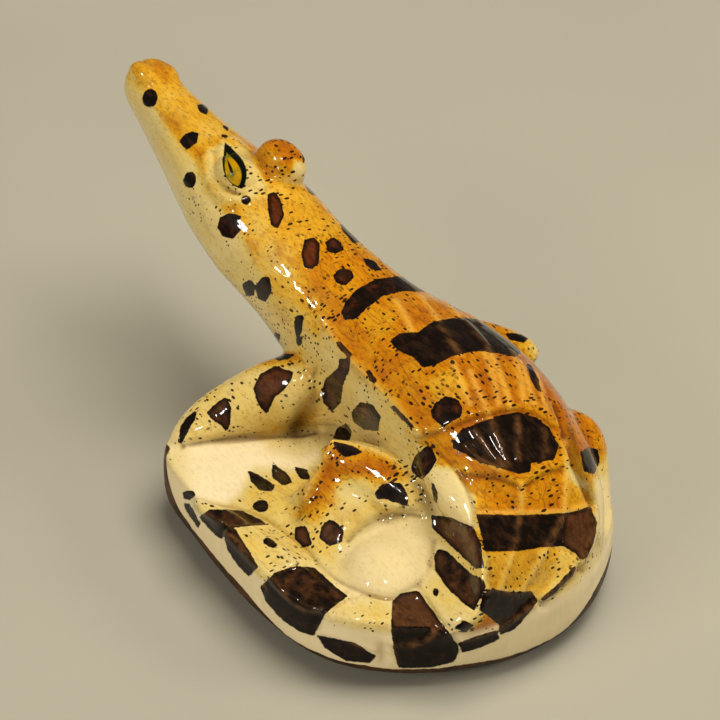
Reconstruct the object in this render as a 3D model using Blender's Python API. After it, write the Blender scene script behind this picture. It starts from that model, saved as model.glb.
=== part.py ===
"""Small crocodile carved in one piece from a nut, lying on its own nut base.

One solid: long snout held out over the edge, domed back, four bent legs and a
tail curled along the left rim. Frame: +X to the snout, +Y to the crocodile's
left, +Z up. The origin is the middle of the flat spot the carving stands on.
"""
import math

import bmesh
import bpy
from mathutils import Quaternion, Vector

MM = 0.001

# fineness of the skin
RING_POINTS = 28
STEPS_PER_SPAN = 6
HEADING_STEP = 0.05
GRID_MM = 0.55
SMOOTH_PASSES = 4
TRIANGLES = 9000
WELD_MM = 0.02

# nut base: how far the outline goes in at each height, and its widest outline
NUT_MIDDLE = (1.5, 1.2)
NUT_RISES = ((-0.5, 0.60), (0.2, 0.80), (1.2, 0.93), (2.8, 1.0), (5.2, 1.0), (6.6, 0.955))
NUT_EDGE = (
    (17.8, 14.7),
    (9.8, 16.9),
    (-0.8, 18.1),
    (-8.4, 17.0),
    (-14.0, 12.2),
    (-16.9, 5.2),
    (-17.0, -0.8),
    (-14.5, -5.5),
    (-9.1, -10.1),
    (-2.0, -13.6),
    (7.0, -15.4),
    (15.0, -11.5),
    (19.0, -3.0),
    (19.8, 6.5),
)

# each sweep: middle x, y, z, half width, rise above the middle, drop below it,
# how much narrower the top is than the bottom, and a roll in degrees
SPINE = (
    (47.4, -1.8, 23.0, 1.0, 0.9, 1.0, 0.0, 0),
    (46.2, -1.8, 22.8, 2.3, 2.0, 2.4, 0.05, 0),
    (42.8, -1.6, 22.1, 2.4, 2.0, 3.2, 0.14, 0),
    (36.6, -1.3, 21.2, 3.3, 2.3, 4.4, 0.20, 0),
    (31.0, -1.0, 20.1, 4.6, 3.0, 5.3, 0.22, 0),
    (26.0, -1.1, 19.1, 5.2, 3.3, 6.1, 0.20, 0),
    (20.0, -1.7, 16.9, 5.1, 3.4, 7.0, 0.10, 0),
    (13.0, -2.8, 14.0, 5.9, 4.4, 8.5, 0.04, 0),
    (5.0, -4.0, 11.6, 7.3, 6.5, 9.5, 0.0, 0),
    (-2.0, -4.0, 10.1, 7.6, 7.3, 8.5, 0.0, 0),
    (-8.0, -3.0, 8.2, 6.9, 6.4, 7.0, 0.0, 0),
    (-12.5, -1.5, 6.2, 5.2, 3.8, 4.5, 0.0, 0),
)
TAIL = (
    (-5.0, -3.4, 8.8, 6.6, 6.0, 3.0, 0.0, 0),
    (-10.0, -1.8, 8.8, 5.6, 3.6, 2.8, 0.0, -8),
    (-12.9, 2.0, 7.2, 4.3, 2.5, 2.6, 0.0, -22),
    (-12.3, 6.6, 5.6, 3.5, 2.1, 3.4, 0.0, -28),
    (-9.7, 10.8, 4.8, 3.2, 2.0, 3.4, 0.0, -22),
    (-5.6, 14.1, 4.8, 2.9, 1.9, 3.0, 0.0, -14),
    (-0.4, 16.2, 5.1, 2.6, 1.8, 2.8, 0.0, -8),
    (5.0, 16.8, 5.7, 2.2, 1.5, 2.6, 0.0, -4),
    (10.4, 16.6, 6.1, 1.5, 1.1, 2.2, 0.0, 0),
    (12.8, 16.0, 6.1, 0.6, 0.6, 1.4, 0.0, 0),
)
FORELEG_LEFT = (
    (12.0, 0.6, 10.2, 3.4, 3.0, 3.4, 0.0, 0),
    (15.6, 4.2, 9.0, 3.2, 2.7, 3.4, 0.0, 0),
    (17.2, 8.8, 7.4, 2.8, 2.3, 2.8, 0.0, 0),
    (17.0, 12.2, 6.7, 2.2, 1.7, 2.4, 0.0, 0),
    (16.6, 14.2, 6.3, 1.2, 1.0, 1.6, 0.0, 0),
)
FORELEG_RIGHT = (
    (11.6, -5.4, 10.4, 3.2, 3.0, 3.4, 0.0, 0),
    (12.2, -9.6, 9.8, 3.0, 2.6, 3.4, 0.0, 0),
    (11.0, -13.4, 9.0, 2.5, 2.2, 2.8, 0.0, 0),
    (8.8, -15.8, 8.6, 1.8, 1.5, 2.4, 0.0, 0),
    (7.6, -16.4, 8.0, 0.9, 0.9, 1.4, 0.0, 0),
)
THIGH_LEFT = (
    (-7.0, 1.4, 7.6, 3.0, 2.6, 4.0, 0.0, 0),
    (-3.4, 3.2, 8.0, 3.1, 2.6, 4.0, 0.0, 0),
    (0.2, 4.9, 8.7, 3.0, 2.8, 4.0, 0.0, 0),
    (3.0, 6.4, 9.2, 2.3, 2.6, 4.0, 0.0, 0),
    (4.6, 7.2, 8.5, 1.1, 1.9, 3.0, 0.0, 0),
)
SHIN_LEFT = (
    (2.4, 6.2, 8.6, 2.6, 2.2, 3.0, 0.0, 0),
    (0.8, 8.6, 7.4, 4.4, 2.0, 3.0, 0.0, 0),
    (0.4, 11.6, 5.7, 4.6, 1.7, 2.4, 0.0, 0),
    (1.2, 14.4, 4.4, 2.2, 1.0, 1.4, 0.0, 0),
)
HINDFOOT_LEFT = (
    (0.0, 12.0, 5.2, 2.6, 1.6, 2.0, 0.0, 0),
    (4.4, 12.0, 5.4, 2.6, 1.7, 2.0, 0.0, 0),
    (7.4, 11.4, 5.6, 2.2, 1.2, 2.0, 0.0, 0),
    (9.0, 11.0, 5.6, 1.2, 0.9, 1.4, 0.0, 0),
)
HIP_FLAP_LEFT = (
    (-3.4, 3.2, 12.6, 0.8, 0.8, 2.0, 0.0, 0),
    (-6.2, 3.6, 11.6, 1.3, 1.3, 2.8, 0.0, 0),
    (-9.2, 4.0, 9.8, 1.2, 1.3, 2.8, 0.0, 0),
    (-11.4, 4.6, 7.8, 0.8, 0.9, 2.4, 0.0, 0),
)
HINDLEG_RIGHT = (
    (-2.6, -7.0, 9.6, 3.4, 3.0, 4.0, 0.0, 0),
    (-5.4, -10.9, 9.8, 2.1, 2.4, 4.0, 0.0, 0),
    (-8.6, -9.5, 7.2, 2.1, 2.0, 3.0, 0.0, 0),
    (-11.4, -7.6, 4.8, 2.0, 1.6, 2.4, 0.0, 0),
)
LIMB_CORNER = 2.0
SPINE_CORNER = 2.15
TAIL_CORNER = 3.0

# round lumps: middle x, y, z and half sizes
EYE_LEFT = (28.4, 0.3, 22.4, 2.4, 1.7, 1.7)
EYE_RIGHT = (27.4, -3.6, 22.5, 2.6, 1.9, 2.1)
REAR_LUMP = (-6.2, 6.0, 5.5, 4.6, 4.3, 3.2)
LOW_LUMP = (-6.8, 8.6, 4.9, 4.9, 4.7, 3.3)



def curve_point(stations, at):
    """Smooth run through the stations (Catmull-Rom) at a running number."""
    last = len(stations) - 1
    span = min(int(at), last - 1)
    t = at - span
    rows = [stations[min(max(span + k, 0), last)] for k in (-1, 0, 1, 2)]
    out = []
    for a, b, c, d in zip(*rows):
        out.append(0.5 * (2 * b + (c - a) * t + (2 * a - 5 * b + 4 * c - d) * t ** 2
                          + (3 * b - a - 3 * c + d) * t ** 3))
    return out


def signed_power(value, power):
    """A power that keeps the sign."""
    return math.copysign(abs(value) ** power, value)


def sweep(name, stations, corner):
    """Closed solid: one squared-off oval per step along a smooth run."""
    mesh = bmesh.new()
    steps = (len(stations) - 1) * STEPS_PER_SPAN
    rings = []
    for i in range(steps + 1):
        at = i / STEPS_PER_SPAN
        x, y, z, wide, rise, drop, spread, roll = curve_point(stations, at)
        ahead = Vector(curve_point(stations, min(at + HEADING_STEP, len(stations) - 1))[:3])
        behind = Vector(curve_point(stations, max(at - HEADING_STEP, 0))[:3])
        along = (ahead - behind).normalized()
        side = along.cross(Vector((0, 0, 1))).normalized()
        up = side.cross(along).normalized()
        turn = Quaternion(along, math.radians(roll))
        side.rotate(turn)
        up.rotate(turn)
        ring = []
        for k in range(RING_POINTS):
            a = 2 * math.pi * k / RING_POINTS
            lift = signed_power(math.sin(a), 2 / corner)
            across = wide * signed_power(math.cos(a), 2 / corner) * (1 - spread * lift)
            height = (rise if lift > 0 else drop) * lift
            ring.append(mesh.verts.new((Vector((x, y, z)) + side * across + up * height) * MM))
        rings.append(ring)
    skin_rings(mesh, rings)
    return finish_mesh(mesh, name)


def skin_rings(mesh, rings):
    """Faces between neighbouring rings, and a lid at each end."""
    points = len(rings[0])
    for low, high in zip(rings, rings[1:]):
        for k in range(points):
            n = (k + 1) % points
            mesh.faces.new((low[k], low[n], high[n], high[k]))
    mesh.faces.new(rings[0])
    mesh.faces.new(rings[-1])


def finish_mesh(mesh, name):
    """Turns the faces outward and hands the mesh over as an object."""
    bmesh.ops.recalc_face_normals(mesh, faces=mesh.faces)
    data = bpy.data.meshes.new(name)
    mesh.to_mesh(data)
    mesh.free()
    item = bpy.data.objects.new(name, data)
    bpy.context.scene.collection.objects.link(item)
    return item


def nut_base():
    """The nut's lower part: one rounded outline per height, flat underneath."""
    mesh = bmesh.new()
    edge = [NUT_EDGE[k % len(NUT_EDGE)] for k in range(-1, len(NUT_EDGE) + 2)]
    points = len(NUT_EDGE) * STEPS_PER_SPAN
    rings = []
    for z, share in NUT_RISES:
        ring = []
        for k in range(points):
            x, y = curve_point(edge, 1 + k / STEPS_PER_SPAN)
            x = NUT_MIDDLE[0] + (x - NUT_MIDDLE[0]) * share
            y = NUT_MIDDLE[1] + (y - NUT_MIDDLE[1]) * share
            ring.append(mesh.verts.new(Vector((x, y, z)) * MM))
        rings.append(ring)
    skin_rings(mesh, rings)
    return finish_mesh(mesh, "nut_base")


def lump(name, values):
    """An oval ball."""
    x, y, z, half_x, half_y, half_z = values
    mesh = bmesh.new()
    bmesh.ops.create_icosphere(mesh, subdivisions=4, radius=1.0)
    for vert in mesh.verts:
        vert.co = Vector((x + vert.co.x * half_x, y + vert.co.y * half_y, z + vert.co.z * half_z)) * MM
    return finish_mesh(mesh, name)


def join_all(items, name):
    """Joins the pieces into one closed skin and thins it to plain facets."""
    bpy.ops.object.select_all(action="DESELECT")
    for item in items:
        item.select_set(True)
    bpy.context.view_layer.objects.active = items[0]
    bpy.ops.object.join()
    whole = items[0]
    whole.name = name
    whole.data.name = name
    skin = whole.modifiers.new("one skin", "REMESH")
    skin.mode = "VOXEL"
    skin.voxel_size = GRID_MM * MM
    soft = whole.modifiers.new("soften", "SMOOTH")
    soft.iterations = SMOOTH_PASSES
    soft.factor = 0.5
    bpy.ops.object.modifier_apply(modifier=skin.name)
    bpy.ops.object.modifier_apply(modifier=soft.name)
    thin = whole.modifiers.new("thin", "DECIMATE")
    faces = sum(len(p.vertices) - 2 for p in whole.data.polygons)
    thin.ratio = TRIANGLES / faces
    bpy.ops.object.modifier_apply(modifier=thin.name)
    return whole


def stand_flat(whole):
    """Cuts the underside off level at the floor, so the carving stands."""
    mesh = bmesh.new()
    mesh.from_mesh(whole.data)
    every = mesh.verts[:] + mesh.edges[:] + mesh.faces[:]
    cut = bmesh.ops.bisect_plane(mesh, geom=every, dist=WELD_MM * MM, plane_co=(0, 0, 0),
                                 plane_no=(0, 0, -1), clear_outer=True)
    rim = [item for item in cut["geom_cut"] if isinstance(item, bmesh.types.BMEdge)]
    for vert in mesh.verts:
        if vert.co.z < WELD_MM * MM:
            vert.co.z = 0.0
    bmesh.ops.contextual_create(mesh, geom=rim)
    bmesh.ops.triangulate(mesh, faces=mesh.faces[:])
    bmesh.ops.recalc_face_normals(mesh, faces=mesh.faces)
    mesh.to_mesh(whole.data)
    mesh.free()


def glossy_nut():
    """Amber stained nut under a glossy lacquer."""
    material = bpy.data.materials.new("lacquered_nut")
    material.use_nodes = True
    shader = material.node_tree.nodes["Principled BSDF"]
    shader.inputs["Base Color"].default_value = (0.66, 0.36, 0.10, 1.0)
    shader.inputs["Roughness"].default_value = 0.3
    shader.inputs["Coat Weight"].default_value = 0.6
    return material


def main():
    """Builds the carving."""
    for item in list(bpy.data.objects):
        bpy.data.objects.remove(item, do_unlink=True)
    items = [
        sweep("spine", SPINE, SPINE_CORNER),
        sweep("tail", TAIL, TAIL_CORNER),
        sweep("foreleg_left", FORELEG_LEFT, LIMB_CORNER),
        sweep("foreleg_right", FORELEG_RIGHT, LIMB_CORNER),
        sweep("thigh_left", THIGH_LEFT, LIMB_CORNER),
        sweep("shin_left", SHIN_LEFT, LIMB_CORNER),
        sweep("hindfoot_left", HINDFOOT_LEFT, LIMB_CORNER),
        sweep("hip_flap_left", HIP_FLAP_LEFT, LIMB_CORNER),
        sweep("hindleg_right", HINDLEG_RIGHT, LIMB_CORNER),
        nut_base(),
        lump("eye_left", EYE_LEFT),
        lump("eye_right", EYE_RIGHT),
        lump("rear_lump", REAR_LUMP),
        lump("low_lump", LOW_LUMP),
    ]
    whole = join_all(items, "crocodile_carving")
    stand_flat(whole)
    whole.data.materials.clear()
    whole.data.materials.append(glossy_nut())
    for face in whole.data.polygons:
        face.use_smooth = True


main()
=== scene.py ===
"""Looks of the small lacquered crocodile carved from a nut.

The carving is one closed skin. Its plain form is a handful of sweeps: squared-off
ovals carried along smooth runs for spine and legs, four rails with straight
faces between them for the tail, a rounded outline for the nut base and a few
oval lumps. They are joined to one skin on a fine grid, and the hollows between
them are eased as a knife leaves them. Plates, lapped lips and ridges are then
raised on the skin, and creases cut into it. Stain, spots, wear, painted shade in
hollows and creases, and the nut's own brown skin, which along the floor is also
painted contact shadow, are fields over the surface, kept as attributes, which the
lacquered-nut material turns into crisp hand-painted edges.

Lengths are in millimetres until a mesh is made. +X is the snout, +Y the
crocodile's left, +Z up. Things drawn on the near side are placed by where the
picture shows them: picture points count across and down from the upper left
corner of the 720 x 720 frame, and each is laid on the skin it is seen on.
"""
import math

import bpy
import numpy as np
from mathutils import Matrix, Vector
from mathutils.bvhtree import BVHTree


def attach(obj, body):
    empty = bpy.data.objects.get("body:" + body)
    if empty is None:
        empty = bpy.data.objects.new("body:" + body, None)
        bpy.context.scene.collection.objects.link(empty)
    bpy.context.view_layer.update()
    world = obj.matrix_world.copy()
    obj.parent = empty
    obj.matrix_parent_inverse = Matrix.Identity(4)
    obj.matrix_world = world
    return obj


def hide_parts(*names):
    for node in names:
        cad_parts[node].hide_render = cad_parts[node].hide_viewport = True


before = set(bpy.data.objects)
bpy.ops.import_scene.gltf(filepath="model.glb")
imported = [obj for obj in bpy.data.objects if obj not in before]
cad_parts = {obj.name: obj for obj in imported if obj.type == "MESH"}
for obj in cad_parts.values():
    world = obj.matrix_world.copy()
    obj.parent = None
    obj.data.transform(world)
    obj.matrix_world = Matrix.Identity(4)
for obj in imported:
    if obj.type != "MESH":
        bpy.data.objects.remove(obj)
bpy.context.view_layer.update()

MM = 0.001

# the viewpoint
EYE_POINT = np.array((-151.02, 112.99, 151.31))
LOOK_AT = np.array((10.03, 0.22, 13.65))
FRAME_PX = 720
FOCAL_PX = 2880.0
SENSOR_MM = 36.0
PX_PER_MM = 12.0
EYE_RANGE_MM = 247.3

AHEAD = (LOOK_AT - EYE_POINT) / np.linalg.norm(LOOK_AT - EYE_POINT)
ACROSS = np.cross(AHEAD, (0.0, 0.0, 1.0))
ACROSS = ACROSS / np.linalg.norm(ACROSS)
UPWARD = np.cross(ACROSS, AHEAD)


def picture(points):
    """Picture place of points: their offset from the viewpoint, divided by depth."""
    away = np.atleast_2d(points) - EYE_POINT
    depth = away @ AHEAD
    across = FRAME_PX / 2 + FOCAL_PX * (away @ ACROSS) / depth
    down = FRAME_PX / 2 - FOCAL_PX * (away @ UPWARD) / depth
    return np.column_stack((across, down)), depth


def sight_line(across, down):
    """Direction from the viewpoint through a picture point."""
    ray = AHEAD * FOCAL_PX + ACROSS * (across - FRAME_PX / 2) + UPWARD * (FRAME_PX / 2 - down)
    return ray / np.linalg.norm(ray)


def at_height(across, down, height):
    """The point of a sight line that lies at a height over the floor."""
    ray = sight_line(across, down)
    return EYE_POINT + ray * ((height - EYE_POINT[2]) / ray[2])


# how finely the plain form's sweeps and lumps are drawn, and the joining grid
RING_POINTS = 48
SPAN_STEPS = 14
NUT_SPAN_STEPS = 12
TAIL_FACE_POINTS = 10
LUMP_RINGS = 24
GRID_MM = 0.238

# easing: passes, and the share of the way to the neighbours' mean in each
EASE_PASSES = 2
EASE_SHARE = 0.5
HOLLOW_PASSES = 6
HOLLOW_SHARE = 0.9
CREST_SHARE = 0.12

# middle x, y, z, half width, rise, drop, how much narrower on top
SPINE = np.array((
    (47.7, -1.8, 23.2, 1.0, 0.9, 1.0, 0.0),
    (46.5, -1.8, 23.0, 2.3, 2.0, 2.5, 0.05),
    (43.0, -1.6, 22.2, 2.5, 2.0, 4.0, 0.14),
    (36.8, -1.2, 21.2, 3.4, 2.3, 5.2, 0.20),
    (31.0, -1.0, 20.1, 4.6, 3.0, 5.6, 0.22),
    (26.0, -1.1, 19.1, 5.2, 3.3, 6.3, 0.20),
    (20.0, -1.7, 16.9, 5.1, 3.4, 7.0, 0.10),
    (13.0, -2.8, 14.0, 5.9, 4.4, 8.5, 0.04),
    (5.0, -4.0, 11.6, 7.3, 6.5, 9.5, 0.0),
    (-2.0, -3.9, 10.1, 7.4, 7.3, 8.5, 0.0),
    (-8.0, -3.0, 8.2, 6.9, 6.4, 7.0, 0.0),
    (-12.5, -1.5, 6.2, 5.2, 3.8, 4.5, 0.0),
))
FORELEG_LEFT = np.array((
    (12.0, 0.6, 10.2, 3.4, 3.0, 3.4, 0.0),
    (15.6, 4.2, 9.0, 3.2, 2.7, 3.4, 0.0),
    (17.2, 8.8, 7.4, 2.8, 2.3, 2.8, 0.0),
    (17.0, 12.2, 6.7, 2.2, 1.7, 2.4, 0.0),
    (16.6, 14.2, 6.3, 1.2, 1.0, 1.6, 0.0),
))
FORELEG_RIGHT = np.array((
    (11.6, -5.4, 10.4, 3.2, 3.0, 3.4, 0.0),
    (12.2, -9.6, 9.8, 3.0, 2.6, 3.4, 0.0),
    (11.0, -13.4, 9.0, 2.5, 2.2, 2.8, 0.0),
    (8.8, -15.8, 8.6, 1.8, 1.5, 2.4, 0.0),
    (7.6, -16.4, 8.0, 0.9, 0.9, 1.4, 0.0),
))
THIGH_LEFT = np.array((
    (-7.0, 1.4, 7.6, 3.0, 2.6, 4.0, 0.0),
    (-3.4, 3.2, 8.0, 3.1, 2.6, 4.0, 0.0),
    (0.2, 4.9, 8.7, 3.0, 2.8, 4.0, 0.0),
    (3.0, 6.4, 9.2, 2.3, 2.6, 4.0, 0.0),
    (4.6, 7.2, 8.5, 1.1, 1.9, 3.0, 0.0),
))
SHIN_LEFT = np.array((
    (2.4, 6.2, 8.6, 2.6, 2.2, 3.0, 0.0),
    (0.8, 8.6, 7.4, 4.4, 2.0, 3.0, 0.0),
    (0.4, 11.6, 5.7, 4.6, 1.7, 2.4, 0.0),
    (1.2, 14.4, 4.4, 2.2, 1.0, 1.4, 0.0),
))
HINDFOOT_LEFT = np.array((
    (0.0, 12.0, 5.2, 2.6, 1.6, 2.0, 0.0),
    (4.4, 12.0, 5.4, 2.6, 1.7, 2.0, 0.0),
    (7.4, 11.4, 5.6, 2.2, 1.2, 2.0, 0.0),
    (9.0, 11.0, 5.6, 1.2, 0.9, 1.4, 0.0),
))
HINDLEG_RIGHT = np.array((
    (-2.6, -7.0, 9.6, 3.4, 3.0, 4.0, 0.0),
    (-5.35, -10.8, 9.9, 2.1, 2.4, 4.0, 0.0),
    (-8.5, -9.4, 7.1, 2.0, 1.9, 3.0, 0.0),
    (-11.3, -7.5, 4.7, 1.9, 1.5, 2.4, 0.0),
))
# flap over the root of the tail: picture point and height, half width, rise, drop
FLAP_LEFT = (
    ((422, 452, 11.6), (0.8, 0.7, 2.0)),
    ((438, 470, 12.2), (1.4, 0.9, 2.4)),
    ((452, 489, 12.0), (1.5, 1.0, 2.6)),
    ((462, 508, 11.5), (1.2, 0.9, 2.4)),
    ((471, 525, 10.9), (0.5, 0.5, 1.6)),
)
# powers of the squared-off ovals
SPINE_CORNER = 2.15
LIMB_CORNER = 2.0

# the tail's rails: picture point and height of the inner foot, the inner crest,
# the outer crest and the outer foot at each station from the rump to the tip
TAIL_RAILS = (
    ((440, 492, 10.0), (466, 470, 13.6), (566, 468, 12.4), (598, 480, 8.0)),
    ((434, 520, 8.8), (476, 512, 12.0), (594, 508, 9.8), (604, 526, 6.4)),
    ((431, 548, 7.8), (484, 553, 10.8), (590, 548, 8.2), (597, 560, 5.6)),
    ((432, 566, 7.3), (486, 582, 9.6), (568, 576, 7.2), (576, 590, 5.0)),
    ((432, 582, 7.1), (481, 606, 8.2), (534, 604, 6.3), (540, 618, 4.4)),
    ((422, 590, 7.1), (461, 628, 6.9), (494, 631, 5.4), (500, 648, 3.4)),
    ((412, 592, 7.1), (428, 641, 5.2), (452, 659, 2.7), (452, 664, 1.6)),
    ((392, 600, 6.8), (392, 643, 4.8), (394, 664, 1.9), (394, 668, 1.0)),
    ((350, 602, 6.6), (344, 639, 4.6), (345, 660, 1.9), (343, 664, 1.2)),
    ((324, 586, 6.8), (306, 613, 5.2), (303, 641, 2.2), (300, 645, 1.4)),
    ((303, 566, 7.0), (273, 582, 5.8), (263, 610, 2.4), (260, 614, 1.6)),
    ((284, 551, 7.0), (250, 560, 6.3), (236, 582, 2.8), (233, 586, 2.0)),
    ((262, 534, 7.1), (228, 528, 6.8), (215, 553, 3.3), (212, 557, 2.4)),
    ((232, 511, 7.1), (203, 509, 7.1), (195, 526, 3.9), (192, 530, 3.0)),
    ((200, 497, 7.0), (193, 500, 6.9), (189, 508, 4.6), (187, 512, 3.6)),
)
# how low and how far inwards the tail's feet sink into the nut, the crown of its
# top face, and the width from which the crown is full
TAIL_FLOOR_MM = 0.9
TAIL_SUNK_MM = 2.8
TAIL_CROWN_MM = 0.55
TAIL_BROAD_MM = 10.0

# nut base: widest outline, and how far in the outline lies at each height
NUT_MIDDLE = np.array((1.5, 1.2))
NUT_RISES = np.array((
    (0.0, 0.80), (0.3, 0.87), (1.0, 0.953), (2.0, 0.993),
    (3.0, 1.0), (5.2, 1.0), (6.5, 0.99), (6.6, 0.98),
))
NUT_EDGE = np.array((
    (18.0, 14.8), (9.8, 16.9), (-0.9, 17.7), (-8.3, 16.4), (-13.5, 11.7),
    (-16.5, 5.1), (-16.7, -0.8), (-14.6, -6.2), (-9.9, -11.2), (-2.4, -14.0),
    (7.0, -15.4), (15.0, -11.5), (19.0, -3.0), (19.8, 6.5),
))

# middle x, y, z and half sizes
LUMPS = {
    "eye left": (28.4, 0.3, 22.4, 2.4, 1.7, 1.7),
    "eye right": (27.4, -3.6, 22.7, 2.7, 2.0, 2.2),
    "nostril left": (45.4, -0.9, 24.2, 1.9, 1.1, 1.0),
    "nostril right": (45.0, -2.8, 23.8, 1.8, 1.1, 0.9),
    "rear lump": (-6.2, 6.0, 5.5, 4.6, 4.3, 3.2),
    "low lump": (-6.9, 8.7, 4.9, 5.0, 4.7, 3.7),
}


# making the plain form
def run_through(stations, places):
    """Smooth run (Catmull-Rom): at each place, half the sum of four neighbouring
    stations weighted by cubic polynomials of the share of the span passed."""
    last = len(stations) - 1
    span = np.clip(places.astype(int), 0, last - 1)
    t = (places - span)[:, None]
    before, start, end, after = (
        stations[np.clip(span + k, 0, last)] for k in (-1, 0, 1, 2)
    )
    return 0.5 * (
        2 * start
        + (end - before) * t
        + (2 * before - 5 * start + 4 * end - after) * t ** 2
        + (3 * start - before - 3 * end + after) * t ** 3
    )


def closed_grid(rings):
    """Points and faces of a tube: rings joined side by side, a pole at each end."""
    rows, cols = rings.shape[:2]
    low = rings[0].mean(axis=0)
    high = rings[-1].mean(axis=0)
    points = np.vstack((rings.reshape(-1, 3), low, high))
    k = np.arange(cols)
    n = (k + 1) % cols
    first = np.arange(rows - 1)[:, None] * cols
    quads = np.stack((first + k, first + n, first + cols + n, first + cols + k), axis=-1)
    top = (rows - 1) * cols
    faces = quads.reshape(-1, 4).tolist()
    faces += np.column_stack((n, k, np.full(cols, rows * cols))).tolist()
    faces += np.column_stack((top + k, top + n, np.full(cols, rows * cols + 1))).tolist()
    return points, faces


def signed_power(value, power):
    """A power that keeps the sign."""
    return np.sign(value) * np.abs(value) ** power


def oval_sweep(stations, corner):
    """A squared-off oval, |x|^corner + |y|^corner = 1, carried along the run; its
    top is narrower than its bottom by the spread."""
    places = np.linspace(0, len(stations) - 1, (len(stations) - 1) * SPAN_STEPS + 1)
    run = run_through(stations, places)
    middle, wide, rise, drop, spread = np.split(run, (3, 4, 5, 6), axis=1)
    along = np.gradient(middle, axis=0)
    along /= np.linalg.norm(along, axis=1, keepdims=True)
    side = np.cross(along, (0.0, 0.0, 1.0))
    side /= np.linalg.norm(side, axis=1, keepdims=True)
    up = np.cross(side, along)
    angle = np.linspace(0, 2 * np.pi, RING_POINTS, endpoint=False)[None, :]
    lift = signed_power(np.sin(angle), 2 / corner)
    reach = wide * signed_power(np.cos(angle), 2 / corner) * (1 - spread * lift)
    height = np.where(lift > 0, rise, drop) * lift
    rings = middle[:, None] + side[:, None] * reach[..., None] + up[:, None] * height[..., None]
    return closed_grid(rings)


def tail_sweep():
    """Straight faces between four smooth rails; the broad top face is crowned by
    4 s (1 - s) of the crown height across it, and the feet sink into the nut."""
    rails = np.array([[at_height(*spot) for spot in row] for row in TAIL_RAILS])
    places = np.linspace(0, len(rails) - 1, (len(rails) - 1) * SPAN_STEPS + 1)
    run = run_through(rails.reshape(len(rails), -1), places).reshape(-1, 4, 3)
    foot_in, crest_in, crest_out, foot_out = (run[:, k] for k in range(4))
    sunk = []
    for foot in (foot_in, foot_out):
        inward = NUT_MIDDLE - foot[:, :2]
        inward = inward / np.linalg.norm(inward, axis=1, keepdims=True)
        under = foot[:, :2] + inward * TAIL_SUNK_MM
        sunk.append(np.column_stack((under, np.full(len(foot), TAIL_FLOOR_MM))))
    sunk_in, sunk_out = sunk
    corners = (sunk_in, foot_in, crest_in, crest_out, foot_out, sunk_out)
    share = np.linspace(0, 1, TAIL_FACE_POINTS, endpoint=False)[None, :, None]
    faces = []
    for start, end in zip(corners, corners[1:] + corners[:1]):
        face = start[:, None] * (1 - share) + end[:, None] * share
        if start is crest_in:
            width = np.linalg.norm(end - start, axis=1)[:, None, None]
            crown = TAIL_CROWN_MM * np.clip(width / TAIL_BROAD_MM, 0, 1)
            face = face + np.array((0, 0, 1.0)) * 4 * share * (1 - share) * crown
        faces.append(face)
    return closed_grid(np.concatenate(faces, axis=1))


def nut_base():
    """The widest outline drawn in towards the middle by the share at each height."""
    count = len(NUT_EDGE)
    wrapped = NUT_EDGE[np.arange(-1, count + 2) % count]
    places = 1 + np.linspace(0, count, count * NUT_SPAN_STEPS, endpoint=False)
    outline = run_through(wrapped, places)
    height, share = NUT_RISES[:, 0], NUT_RISES[:, 1]
    flat = NUT_MIDDLE + (outline - NUT_MIDDLE)[None] * share[:, None, None]
    tall = np.broadcast_to(height[:, None, None], flat.shape[:2] + (1,))
    return closed_grid(np.concatenate((flat, tall), axis=2))


def oval_lump(x, y, z, half_x, half_y, half_z):
    """Ball of latitude rings, stretched to the three half sizes."""
    around = np.linspace(0, 2 * np.pi, RING_POINTS, endpoint=False)[None, :]
    rise = np.linspace(-0.5 * np.pi, 0.5 * np.pi, LUMP_RINGS + 2)[1:-1, None]
    unit = np.stack((
        np.cos(rise) * np.cos(around),
        np.cos(rise) * np.sin(around),
        np.sin(rise) * np.ones_like(around),
    ), axis=-1)
    return closed_grid(unit * (half_x, half_y, half_z) + (x, y, z))


def new_mesh(name, points, faces):
    """A mesh object at the origin from points in millimetres."""
    mesh = bpy.data.meshes.new(name)
    mesh.from_pydata((np.asarray(points) * MM).tolist(), [], faces)
    mesh.update()
    item = bpy.data.objects.new(name, mesh)
    bpy.context.scene.collection.objects.link(item)
    return item


def one_skin(parts):
    """Joins the parts on a fine grid; gives back the grid skin's points and quads."""
    points, faces, start = [], [], 0
    for part_points, part_faces in parts:
        points.append(part_points)
        faces += [[start + k for k in face] for face in part_faces]
        start += len(part_points)
    rough = new_mesh("rough", np.vstack(points), faces)
    skin = rough.modifiers.new("one skin", "REMESH")
    skin.mode = "VOXEL"
    skin.voxel_size = GRID_MM * MM
    ready = rough.evaluated_get(bpy.context.evaluated_depsgraph_get())
    mesh = ready.to_mesh()
    count = len(mesh.vertices)
    flat = np.empty(count * 3)
    mesh.vertices.foreach_get("co", flat)
    corners = np.empty(len(mesh.loops), dtype=np.int64)
    mesh.loops.foreach_get("vertex_index", corners)
    ready.to_mesh_clear()
    bpy.data.objects.remove(rough, do_unlink=True)
    return flat.reshape(-1, 3) / MM, corners.reshape(-1, 4)


# easing and measuring
def neighbour_mean(points, edges):
    """Mean of each point's neighbours along the edges."""
    total = np.zeros_like(points)
    many = np.bincount(edges.ravel(), minlength=len(points))
    for axis in range(points.shape[1]):
        a = np.bincount(edges[:, 0], points[edges[:, 1], axis], len(points))
        b = np.bincount(edges[:, 1], points[edges[:, 0], axis], len(points))
        total[:, axis] = a + b
    return total / many[:, None]


def skin_normals(points, quads):
    """Area-weighted normals: cross products of each quad's diagonals, summed."""
    a, b, c, d = (points[quads[:, corner]] for corner in range(4))
    cross = np.cross(c - a, d - b)
    total = np.zeros_like(points)
    for corner in range(4):
        for axis in range(3):
            total[:, axis] += np.bincount(quads[:, corner], cross[:, axis], len(points))
    return total / (np.linalg.norm(total, axis=1, keepdims=True) + 1e-12)


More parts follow.
